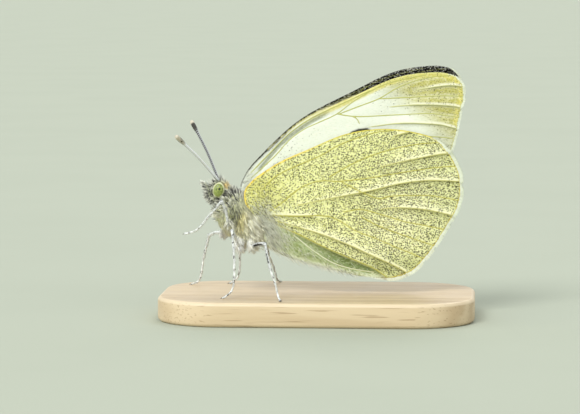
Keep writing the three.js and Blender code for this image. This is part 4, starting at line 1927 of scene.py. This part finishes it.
    def coat(self, name: str, roots: Array, directions: Array, lengths: Array, widths: Array, colours: Array,
             bend: float, lock: int = 1, outs: Array | None = None) -> None:
        """Makes one piece of coat from its hairs.

        Args:
            name: The piece's name.
            roots: Where the hairs begin.
            directions: Which way they point.
            lengths: Their lengths.
            widths: Their widths.
            colours: Their colours.
            bend: How far the tips hang down, as a share of the length.
            lock: How many hairs lean together in a lock, on average.
            outs: The skin's direction at each root, for hair that lies flat.
        """
        strands = Strands(roots, directions, lengths, widths, np.clip(colours, 0, 1), self.on_map(roots))
        pull = np.broadcast_to(DOWN * bend, roots.shape)
        if lock > 1:
            leaders = np.arange(0, len(roots), lock)
            gaps = roots[:, None] - roots[None, leaders]
            nearest = leaders[np.einsum("nkx,nkx->nk", gaps, gaps).argmin(axis=1)]
            tips = roots + directions * lengths[:, None]
            lean = (tips[nearest] - tips) / lengths[:, None]
            pull = pull + 0.55 * lean / np.maximum(np.linalg.norm(lean, axis=1, keepdims=True), 1)
            tone = rng_for(name).uniform(0.85, 1.1, len(roots))[nearest]
            strands.colours = np.clip(strands.colours * tone[:, None], 0, 1)
        shell = Shell()
        strands.hairs(shell, pull, dark_root=0.95, outs=outs)
        shell.build(name, self.coat_finish)

    def thorax_coat(self) -> None:
        """Long silky hair, pale with some dark ones among it, and dark ones put as painted shade between the
        foreleg and the chest.
        """
        rng = rng_for("thorax coat")
        along, _ = self.station(self.centres)
        trunk = step_up(along, 3.0, 4.2) * step_up(along, 12.0, 10.5)
        weights = trunk * (1 + 2 * self.on_coxa(self.centres)) + 1e-6
        roots, normals = self.sample(self.thorax_hairs, weights, rng)
        colours = self.colour(roots) * rng.uniform(0.8, 1.2, (len(roots), 1))
        flat = roots * [1, 0, 1]
        dark_hairs_and_chest_shade = 0.3 * bump_at(flat, (-11.0, 0, 14.4), 1.2)
        # More dark hairs between the foreleg and the chest stand for painted shade there; those on the neck
        # are the coat's own.
        dark_hairs_and_chest_shade = dark_hairs_and_chest_shade + 0.5 * bump_at(flat * [1, 1, 0.6], (-10.5, 0, 7.8), 0.6)
        dark = rng.random(len(roots)) < 0.03 + dark_hairs_and_chest_shade
        colours[dark] *= 0.2
        flank = step_up(np.abs(roots[:, 1]), 0.9, 1.7)
        lengths = rng.uniform(0.8, 1.4, len(roots)) * (1 + 0.35 * flank) * (1 - 0.3 * self.on_coxa(roots))
        proud = rng.random(len(roots)) < 0.16
        low, high = (self.lie(roots, normals, lift, rng) for lift in (0.1, 0.55))
        widths = rng.uniform(0.09, 0.17, len(roots)) * np.where(proud, 0.6, 1)
        self.coat("coat_thorax", roots, np.where(proud[:, None], high, low), lengths, widths, colours,
                  0.04, 6, normals)
        self.flank_tufts(rng)

    def flank_tufts(self, rng: Random) -> None:
        """The long white hair of the flanks, which sweeps back over the roots of the wings.

        Args:
            rng: The random generator.
        """
        flank = step_up(np.abs(self.centres[:, 1]), 0.8, 1.4)
        weights = flank * bump_at(self.centres * [1, 0, 0.5], (-7.6, 0, 5.9), 1.0) + 1e-9
        roots, normals = self.sample(self.flank_hairs, weights, rng)
        side = np.sign(roots[:, 1:2])
        heading = np.array([0.72, 0, -0.62]) + side * np.array([0, 0.3, 0]) + rng.normal(0, 0.14, roots.shape)
        colours = blend(self.colour(roots), shade(255, 253, 228), np.full(len(roots), 0.7))
        colours = colours * rng.uniform(0.88, 1.1, (len(roots), 1))
        self.coat("coat_flanks", roots, unit(heading), rng.uniform(1.1, 2.1, len(roots)),
                  rng.uniform(0.11, 0.18, len(roots)), colours, 0.1, 5, normals)

    def abdomen_coat(self) -> None:
        """Short hair that lies close."""
        rng = rng_for("abdomen coat")
        weights = step_up(self.station(self.centres)[0], 9.5, 11.0) + 1e-6
        roots, normals = self.sample(self.abdomen_hairs, weights, rng)
        colours = self.colour(roots) * rng.uniform(0.8, 1.1, (len(roots), 1))
        self.coat("coat_abdomen", roots, self.lie(roots, normals, 0.12, rng),
                  rng.uniform(0.4, 0.7, len(roots)), rng.uniform(0.06, 0.1, len(roots)), colours,
                  0.02, 1, normals)

    def head_coat(self) -> None:
        """Stiff black and white bristles that stand up from the crown and the face."""
        rng = rng_for("head coat")
        weights = step_up(self.station(self.centres)[0], 4.6, 3.8) + 1e-6
        roots, normals = self.sample(self.bristles, weights, rng)
        amber = bump_at(roots * [1, 0, 1], self.AMBER, 0.5)
        flare = unit(normals + np.array([-0.3, 0, 0.3]) + rng.normal(0, 0.16, normals.shape))
        nape = step_up(self.station(roots)[0], 2.8, 4.2)
        bands = ripple(roots, 0.5, "bristles") + rng.normal(0, 0.35, len(roots))
        black = bands > 0.05 + 2 * amber + 0.7 * nape
        pale = np.array(shade(252, 252, 238)) * rng.uniform(0.85, 1.05, (len(roots), 1))
        mixed = blend(pale, self.colour(roots), 0.25 + 0.75 * amber)
        colours = np.where(black[:, None], np.array(shade(28, 26, 20)), mixed)
        lengths = rng.uniform(0.5, 1.15, len(roots)) * (1 - 0.6 * amber)
        self.coat("coat_head", roots, flare, lengths, rng.uniform(0.07, 0.12, len(roots)), colours, 0.0, 6)


@dataclass
class Eye:
    """A domed compound eye with its dark spots and pale rim."""

    side: Side
    finish: EyeFinish
    half: Triple = (0.74, 0.62, 0.98)
    pitch: float = 12.0
    main_spot: Pair = (0.12, 0.19)
    ring: float = 0.36

    def build(self) -> None:
        """Builds the dome that stands for the node."""
        rows, columns = 60, 96
        rise = np.linspace(-math.pi / 2, math.pi / 2, rows + 2)[1:-1]
        turn = np.linspace(0, 2 * math.pi, columns, endpoint=False)
        ball = np.stack([np.outer(np.cos(rise), np.cos(turn)), np.outer(np.sin(rise), np.ones(columns)),
                         np.outer(np.cos(rise), np.sin(turn))], axis=-1).reshape(-1, 3)
        ball = np.vstack([ball, [[0, -1, 0], [0, 1, 0]]])
        local = ball * self.half
        face = local[:, [0, 2]]
        spots = [(*self.main_spot, 0.135)] + [
            (self.main_spot[0] + self.ring * math.cos(a),
             self.main_spot[1] + 1.15 * self.ring * math.sin(a), 0.055)
            for a in np.radians([15, 75, 135, 195, 255, 315])]
        spot = np.min([np.linalg.norm(face - s[:2], axis=1) - s[2] for s in spots], axis=0)
        outer = ball[:, 1] * self.side.value > 0
        spot = np.where(outer, spot, 1.0)
        rim = 0.64 - ball[:, 1] * self.side.value
        placed = local @ rotation("Y", self.pitch) + node_middle(f"eye_{self.side.label}")
        shell = Shell()
        shell.add(placed, ring_faces(rows, columns, flip=True), spot=spot,
                  rim=np.where(outer, rim, 1.0) * 0.5)
        shell.build(f"eye_dome_{self.side.label}", self.finish,
                    [f"eye_{self.side.label}"])


@dataclass
class Palp:
    """A palp: a short upturned feeler under the face, with a fan of stiff bristles."""

    side: Side
    finish: CoatFinish
    bristles: int = 440

    def build(self) -> None:
        """Builds the palp and its bristles as one piece."""
        name = f"palp_{self.side.label}"
        rng = rng_for(name)
        line = spline(middle_line(name, node_middle("head"), 4, 0.25), 14)
        share = np.linspace(0, 1, len(line))
        shell = Shell()
        skin = np.tile(shade(176, 180, 150), (len(line), 1))
        places = np.column_stack([share * 0.9 + 0.03, np.full(len(line), 0.02)])
        shell.tube(line, 0.24 - 0.12 * share, places, coat=skin)
        pick = rng.uniform(0, 1, self.bristles)
        roots = np.column_stack([np.interp(pick, share, line[:, axis]) for axis in range(3)])
        away = unit(roots - node_middle(f"eye_{self.side.label}") * [1, 0, 1])
        sideways = rng.random(self.bristles)[:, None] < 0.4
        away = np.where(sideways, away * 0.5 + [0, self.side.value * 0.8, 0], away)
        directions = unit(away + rng.normal(0, 0.2, away.shape) + [-0.1, 0, 0.1])
        black = np.sin(pick * 44) + rng.normal(0, 0.5, self.bristles) > 0.15
        colours = np.where(black[:, None], np.array(shade(30, 28, 22)), np.array(shade(246, 247, 232)))
        Strands(roots, directions, rng.uniform(0.5, 0.95, self.bristles),
                rng.uniform(0.06, 0.1, self.bristles), colours, strip_places(pick, rng)).hairs(shell)
        shell.build(f"bristled_{name}", self.finish, [name])


@dataclass
class Antenna:
    """A ringed antenna with its club: pale scales on the outer side, dark on the inner."""

    side: Side
    finish: LimbFinish
    club_finish: LimbFinish
    rings: int = 34
    radius: float = 0.16
    club_radius: float = 0.27
    pale: Colour = shade(246, 251, 255)
    dark: Colour = shade(52, 50, 42)
    tip: Colour = shade(200, 192, 170)

    def build(self) -> None:
        """Builds the shaft and the club along one smooth line."""
        shaft_node, club_node = f"antenna_{self.side.label}", f"antenna_club_{self.side.label}"
        head = node_middle("head")
        low = middle_line(shaft_node, head, 6, 0.5)
        club = middle_line(club_node, head, 4, 0.4)
        root = low[0] + (low[0] - low[1]) * 0.45
        line = spline(np.vstack([root, low, club, club[-1] + unit(club[-1] - club[-2]) * 0.25]), 260)
        along = np.linspace(0, 1, len(line))
        begin = int(len(line) * 0.78)
        for node, part, finish in ((shaft_node, slice(0, begin + 1), self.finish),
                                   (club_node, slice(begin - 2, None), self.club_finish)):
            shell = Shell()
            self.stretch(shell, line[part], along[part])
            shell.build(f"ringed_{node}", finish, [node])

    def stretch(self, shell: Shell, line: Array, along: Array) -> None:
        """Adds part of the antenna, coloured by ring and by side.

        Args:
            shell: Where the faces go.
            line: The middle line.
            along: The share of the antenna's length at each point.
        """
        ring = along * self.rings % 1
        joint = np.exp(-(((ring - 0.5) / 0.5) ** 2))
        club = step_up(along, 0.76, 0.93) * (1 - step_up(along, 0.955, 1.03) ** 2 * 0.55)
        radii = (self.radius + (self.club_radius - self.radius) * club) * (0.93 + 0.09 * joint)
        radii *= 1 + 0.5 * step_up(along, 0.035, 0.0)
        outward = np.array([0, float(self.side.value), 0])
        sides = 14
        places = np.column_stack([along * 0.9 + 0.05, np.full(len(line), 0.1)])
        shell.tube(line, radii, places, 0.8, sides, first=outward, coat=np.zeros((len(line), 3)))
        vertices = shell.vertices[-1]
        spread = unit(vertices[:-2] - np.repeat(line, sides, axis=0))
        facing = np.concatenate([spread @ outward, [0, 0]])
        ring_of = np.concatenate([np.repeat(ring, sides), [0, 0]])
        along_of = np.concatenate([np.repeat(along, sides), along[[0, -1]]])
        pale = step_up(facing, -0.45, 0.1) * (1 - 0.2 * step_up(np.abs(ring_of - 0.5), 0.34, 0.46))
        # Darker along the lower front side: painted shade.
        below = np.concatenate([spread @ unit(np.array([-1.0, 0, -1.0])), [0, 0]])
        pale *= 1 - 0.85 * step_up(below, 0.62, 0.85)
        pale = np.maximum(pale, 0.55 * step_up(np.abs(ring_of - 0.5), 0.3, 0.45) * (facing < 0))
        colours = blend(self.dark, self.pale, pale)
        grey = blend(self.dark, shade(186, 180, 166), step_up(facing, -0.2, 0.6))
        colours = blend(colours, grey, step_up(along_of, 0.8, 0.88))
        colours = blend(colours, self.tip, step_up(along_of, 0.94, 0.97))
        shell.values["coat"][-1] = colours


@dataclass(frozen=True)
class Stripe:
    """A dark stripe of scales along one side of a length of a leg."""

    facing: Triple
    least: float          # how closely a scale has to face that way
    start: float
    end: float


@dataclass
class Leg:
    """One leg beyond its first joint: femur, tibia and jointed tarsus with two claws."""

    pair: str
    side: Side
    finish: LimbFinish
    floor: float
    femur: float = 0.2
    tibia: float = 0.155
    tarsus: float = 0.125
    hairs: int = 46            # on each length
    plain_scales: int = 80     # for each millimetre
    striped_scales: int = 150
    white: Colour = shade(246, 250, 246)
    dark: Colour = shade(54, 52, 42)
    black: Colour = shade(26, 24, 20)
    claw: Colour = shade(52, 40, 28)

    @property
    def label(self) -> str:
        """The leg's name in the frame, such as midleg_left."""
        return f"{self.pair}_{self.side.label}"

    def build(self) -> None:
        """Builds the three lengths so that each begins where the last one ends."""
        hip = node_middle(f"{self.label}_coxa")
        femur = middle_line(f"{self.label}_femur", hip, 3)
        tibia = middle_line(f"{self.label}_tibia", femur[-1], 3)
        toes = middle_line(f"{self.label}_tarsus", tibia[-1], 7, 0.28)
        knee = (femur[-1] + tibia[0]) / 2
        ankle = (tibia[-1] + toes[0]) / 2
        toes[:, 2] = np.maximum(toes[:, 2], self.floor + self.tarsus)
        start = femur[0] + unit(femur[0] - femur[1]) * 0.35
        hind = self.pair == "hindleg"
        self.length("femur", spline([start, femur[1], knee], 40), self.femur, 0.85, 1.12,
                    stripe=Stripe((0, 0, -1), -0.05, 0.05, 0.86) if hind else None)
        self.length("tibia", spline([knee, tibia[1], ankle], 44), self.tibia, 1.05, 0.95,
                    stripe=Stripe((-0.35, 0.93 * self.side.value, 0), 0.76, 0.36, 0.76) if hind else None)
        tip = toes[-1] + unit(toes[-1] - toes[-2]) * 0.12
        tip[2] = max(tip[2], self.floor + self.tarsus)
        toes_line = spline(np.vstack([ankle, toes[1:], tip]), 80)
        self.length("tarsus", toes_line, self.tarsus, 1.15, 0.85, joints=5)

    def length(self, part: str, line: Array, radius: float, start: float, end: float,
               joints: int = 1, stripe: Stripe | None = None) -> None:
        """Builds one length of the leg with its scales.

        Args:
            part: Its name in the frame.
            line: Its middle line.
            radius: Its radius.
            start: The share of the radius at its beginning.
            end: The share at its end.
            joints: How many short joints it is made of.
            stripe: The dark stripe along it, if it has one.
        """
        name = f"{self.label}_{part}"
        rng = rng_for(name)
        share = np.linspace(0, 1, len(line))
        swell = share * joints % 1
        radii = radius * (start + (end - start) * share)
        if joints > 1:
            radii *= 0.82 + 0.3 * step_up(swell, 0.1, 0.9) * step_up(swell, 1.0, 0.93)
        else:
            radii *= 1 - 0.12 * np.sin(math.pi * share) ** 0.5
        shell = Shell()
        ends = 0.35 * step_up(np.abs(share - 0.5), 0.46, 0.5)
        joint_dark = 0.5 * step_up(swell, 0.93, 1.0) if joints > 1 else ends
        colours = blend(self.white, self.dark, joint_dark)
        places = np.column_stack([share * 0.9 + 0.03, np.full(len(line), 0.02)])
        shell.tube(line, radii, places, coat=colours * 0.9)
        self.scales(shell, rng, line, radii, stripe)
        if part == "tarsus":
            self.claws(shell, line)
        else:
            self.spines(shell, rng, line, radii)
        shell.build(f"scaled_{name}", self.finish, [name])

    def around(self, rng: Random, line: Array, radii: Array, count: int) -> tuple[Array, ...]:
        """Random places on a length's surface.

        Args:
            rng: The random generator.
            line: The middle line.
            radii: The radius along it.
            count: How many places to pick.

        Returns:
            The places, the directions out there, the directions along the leg, and the shares
            of the length.
        """
        share = np.linspace(0, 1, len(line))
        pick = rng.uniform(0.01, 0.99, count)
        tangents = unit(np.gradient(line, axis=0))
        middle, tangent = (np.column_stack([np.interp(pick, share, rows[:, axis]) for axis in range(3)])
                           for rows in (line, tangents))
        tangent = unit(tangent)
        first, second = across(tangent)
        turn = rng.uniform(0, 2 * math.pi, count)[:, None]
        out = np.cos(turn) * first + np.sin(turn) * second
        return middle + out * np.interp(pick, share, radii)[:, None], out, tangent, pick

    def scales(self, shell: Shell, rng: Random, line: Array, radii: Array,
               stripe: Stripe | None) -> None:
        """Adds overlapping pale scales, with dark ones in flecks and along the stripe.

        Args:
            shell: Where the faces go.
            rng: The random generator.
            line: The middle line.
            radii: The radius along it.
            stripe: The dark stripe, if there is one.
        """
        density = self.striped_scales if stripe else self.plain_scales
        count = int(np.linalg.norm(line[-1] - line[0]) * density)
        roots, out, tangent, pick = self.around(rng, line, radii, count)
        fleck = ripple(roots, 0.5, f"flecks {self.label}") > 1.0
        fleck |= rng.random(count) < 0.05
        pale = np.array(self.white) * rng.uniform(0.78, 1.12, (count, 1))
        colours = np.where(fleck[:, None], np.array(self.dark), np.clip(pale, 0, 1))
        if stripe:
            facing = out @ np.array(stripe.facing) > stripe.least
            colours[facing & (pick > stripe.start) & (pick < stripe.end)] = self.black
        Strands(roots - out * 0.01, tangent, rng.uniform(0.2, 0.3, count), rng.uniform(0.07, 0.11, count),
                colours, strip_places(pick, rng)).scales(shell, out, 0.1)

    def spines(self, shell: Shell, rng: Random, line: Array, radii: Array) -> None:
        """Adds fine hairs and short spines along the leg.

        Args:
            shell: Where the faces go.
            rng: The random generator.
            line: The middle line.
            radii: The radius along it.
        """
        roots, out, tangent, pick = self.around(rng, line, radii, self.hairs)
        dark = rng.random(len(roots)) < 0.35
        colours = np.where(dark[:, None], np.array(self.dark), np.array(self.white))
        Strands(roots, unit(out * 0.7 + tangent), rng.uniform(0.2, 0.42, len(roots)),
                np.full(len(roots), 0.03), colours, strip_places(pick, rng)).hairs(shell)

    def claws(self, shell: Shell, line: Array) -> None:
        """Adds the two hooked claws at the tip.

        Args:
            shell: Where the faces go.
            line: The middle line.
        """
        ahead = unit(line[-1] - line[-4])
        side = unit(np.cross(ahead, DOWN))
        for turn in (-1, 1):
            reach = np.array([[0, 0, 0], [0.14, 0.07, 0.05], [0.27, 0.13, 0.02], [0.33, 0.16, -0.08]])
            hook = line[-1] + reach[:, :1] * ahead + reach[:, 1:2] * side * turn - reach[:, 2:] * DOWN
            hook[:, 2] = np.maximum(hook[:, 2], self.floor + 0.03)
            path = spline(hook, 12)
            places = np.column_stack([np.linspace(0.95, 0.98, 12), np.full(12, 0.15 + 0.1 * turn)])
            shell.tube(path, np.linspace(0.045, 0.012, 12), places, 0.05, 8, coat=np.tile(self.claw, (12, 1)))


# ---------------------------------------------------------------- base and studio


@dataclass
class Base:
    """The wooden display base: a slab with round corners and rounded edges."""

    finish: WoodFinish
    corner: float = 8.0
    edge: float = 0.5
    arc_steps: int = 18
    edge_steps: int = 6

    def outline(self, half: Array, inset: float) -> Array:
        """The slab's outline, a given distance inside its widest.

        Args:
            half: Half the slab's size along X and Y.
            inset: How far inside its widest.

        Returns:
            Its points in order.
        """
        radius = self.corner - inset
        points = []
        for quarter in range(4):
            turn = np.linspace(0, math.pi / 2, self.arc_steps) + quarter * math.pi / 2
            sign = np.array([[1, 1], [-1, 1], [-1, -1], [1, -1]])[quarter]
            centre = sign * (half - self.corner)
            points.append(centre + radius * np.column_stack([np.cos(turn), np.sin(turn)]))
        return np.vstack(points)

    def build(self) -> None:
        """Builds the slab from rings that follow its outline."""
        low, high = node_box("stand_base")
        half, middle = (high - low)[:2] / 2, (high + low)[:2] / 2
        turn = np.linspace(0, math.pi / 2, self.edge_steps)
        lower = [(self.edge * (1 - math.sin(a)), low[2] + self.edge * (1 - math.cos(a))) for a in turn]
        upper = [(inset, low[2] + high[2] - z) for inset, z in reversed(lower)]
        inner = [(inset, high[2]) for inset in (1.0, 1.6, 3.0, 5.0, 7.0)]
        under = [(inset, low[2]) for inset in (7.0, 5.0, 3.0, 1.6, 1.0)]
        profile = [*under, *lower, *upper, *inner]
        rings = [np.column_stack([self.outline(half, inset) + middle, np.full(4 * self.arc_steps, z)])
                 for inset, z in profile]
        sides = 4 * self.arc_steps
        ends = [[*middle, low[2]], [*middle, high[2]]]
        wear = np.array([1.0 if inset < self.edge * 0.9 and z > high[2] - self.edge * 0.99 else 0.0
                         for inset, z in profile])
        shell = Shell()
        shell.add(np.vstack([*rings, ends]), ring_faces(len(profile), sides),
                  wear=np.concatenate([np.repeat(wear, sides), [0, 0]]))
        shell.build("base_slab", self.finish, ["stand_base"])


@dataclass
class Studio:
    """A plain pale floor, soft light from above and in front, and the camera."""

    floor_finish: FloorFinish
    azimuth: float = 4.0
    elevation: float = 5.0
    distance: float = 350.0
    seen_width: float = 72.21                          # what the view takes in at that distance
    aim: Triple = (-3.54, 0.68, 13.54)
    sensor: float = 36.0
    backdrop: Colour = shade(207, 215, 198)
    sky: Colour = (0.94, 0.97, 1.0)
    sky_strength: float = 0.72

    def build(self) -> None:
        """Builds the floor, the lights, the world and the camera."""
        self.floor()
        self.sun("key_light", -26, 41, 2.0, 24)
        self.sun("fill_light", 40, 22, 0.6, 60)
        self.sun("face_light", -62, 5, 1.35, 60)
        self.sun("back_light", 170, 48, 0.8, 30)
        self.world()
        self.camera()
        bpy.context.scene.view_settings.view_transform = "Standard"

    def floor(self) -> None:
        """A wide flat floor under the base."""
        size = 6.0
        mesh = bpy.data.meshes.new("floor")
        corners = [(-size, -size, 0), (size, -size, 0), (size, size, 0), (-size, size, 0)]
        mesh.from_pydata(corners, [], [(0, 1, 2, 3)])
        floor = bpy.data.objects.new("floor", mesh)
        bpy.context.scene.collection.objects.link(floor)
        mesh.materials.append(self.floor_finish.material)

    def sun(self, name: str, azimuth: float, elevation: float, strength: float, softness: float) -> None:
        """A soft light from far away.

        Args:
            name: Its name.
            azimuth: Where it comes from, in degrees round from straight in front.
            elevation: How high it stands, in degrees.
            strength: Its strength.
            softness: How wide it looks, in degrees.
        """
        light = bpy.data.lights.new(name, "SUN")
        light.energy, light.angle = strength, math.radians(softness)
        lamp = bpy.data.objects.new(name, light)
        lamp.rotation_euler = (math.radians(90 - elevation), 0, math.radians(azimuth))
        bpy.context.scene.collection.objects.link(lamp)

    def world(self) -> None:
        """Even pale light from all round, in the floor's colour where the camera sees it."""
        world = bpy.data.worlds.new("studio")
        world.use_nodes = True
        bpy.context.scene.world = world
        graph = Graph(world.node_tree)
        seen = graph.node("ShaderNodeLightPath").outputs["Is Camera Ray"]
        lit = graph.node("ShaderNodeBackground", {"Color": self.sky, "Strength": self.sky_strength})
        wall = graph.node("ShaderNodeBackground", {"Color": self.backdrop, "Strength": 1.0})
        both = graph.node("ShaderNodeMixShader", {0: seen, 1: lit.outputs[0], 2: wall.outputs[0]})
        graph.node("ShaderNodeOutputWorld", {"Surface": both.outputs[0]})

    def camera(self) -> None:
        """The camera, a little above the floor and a little towards the head."""
        lens = bpy.data.cameras.new("camera")
        lens.sensor_width = self.sensor
        lens.lens = self.sensor * self.distance / self.seen_width
        lens.clip_start, lens.clip_end = 0.01, 20
        camera = bpy.data.objects.new("camera", lens)
        turn, rise = math.radians(self.azimuth), math.radians(self.elevation)
        away = Vector((math.sin(turn) * math.cos(rise), -math.cos(turn) * math.cos(rise), math.sin(rise)))
        camera.location = (Vector(self.aim) + away * self.distance) * MM
        camera.rotation_euler = away.to_track_quat("Z", "Y").to_euler()
        bpy.context.scene.collection.objects.link(camera)
        bpy.context.scene.camera = camera


def main() -> None:
    """Builds the butterfly, its base and the studio."""
    logging.basicConfig(level=logging.INFO, format="%(name)s: %(message)s")
    fur = CoatFinish("fur", "body_fur", 0.6, 0.15, sheen=0.5)
    hind_scales = CoatFinish("hind_scales", "wing_yellow", 0.8, 0.05, amount=0.05)
    fore_scales = CoatFinish("fore_scales", "wing_white", 0.8, 0.05, amount=0.05)
    leg = LimbFinish("leg_scales", "leg_scales", 0.6, 0.15, flecks=0.7)
    Base(WoodFinish("satin_wood", "base_wood", 0.38, 0.5, 0.01)).build()
    Body(CoatFinish("skin", "body_fur", 0.8, amount=0.1), fur).build()

    eye = EyeFinish("eye", "eye", 0.28, 0.5, 0.004)
    shaft = LimbFinish("antenna", "antenna", 0.6, 0.15, fleck=shade(128, 128, 124), flecks=0.8)
    club = LimbFinish("antenna_club", "antenna_club", 0.6, flecks=0.66)
    for side in Side:
        Eye(side, eye).build()
        Palp(side, fur).build()
        Antenna(side, shaft, club).build()

    base_top = float(node_box("stand_base")[1][2])
    for pair in ("foreleg", "midleg", "hindleg"):
        for side in Side:
            Leg(pair, side, leg, base_top).build()

    hind = HindPlan(Layer.HIND, (-6.4, 12.8), HIND_VEINS, (15.3, 21.9), (7.6, 4.5), offset=0.45)
    fore = ForePlan(Layer.FORE, (-8.5, 16.2), FORE_VEINS, (17.2, 30.0), (14.8, 15.0), fringe=0.3)
    # Each wing finish paints a highlight above and shade below the ridges in its light and dark colours.
    yellow = WingFinish("wing_yellow", "wing_yellow", 0.75, 0.1, albedo=0.8)
    white = WingFinish("wing_white", "wing_white", 0.75, 0.05, vein=shade(196, 198, 112),
                       light=shade(255, 254, 226), dark=shade(150, 154, 100), vein_width=0.05, dark_share=0.6,
                       edge=shade(226, 222, 140), deep=(0.94, 0.94, 0.88))
    for side in Side:
        for plan, finish, scales in ((fore, white, fore_scales), (hind, yellow, hind_scales)):
            rise = 1.9 if plan is fore and side is Side.RIGHT else 0.0
            Wing(plan, side, finish, scales, rise).build()

    Studio(FloorFinish("floor_paper", "floor", 0.9, 0.1)).build()


if __name__ == "__main__":
    main()
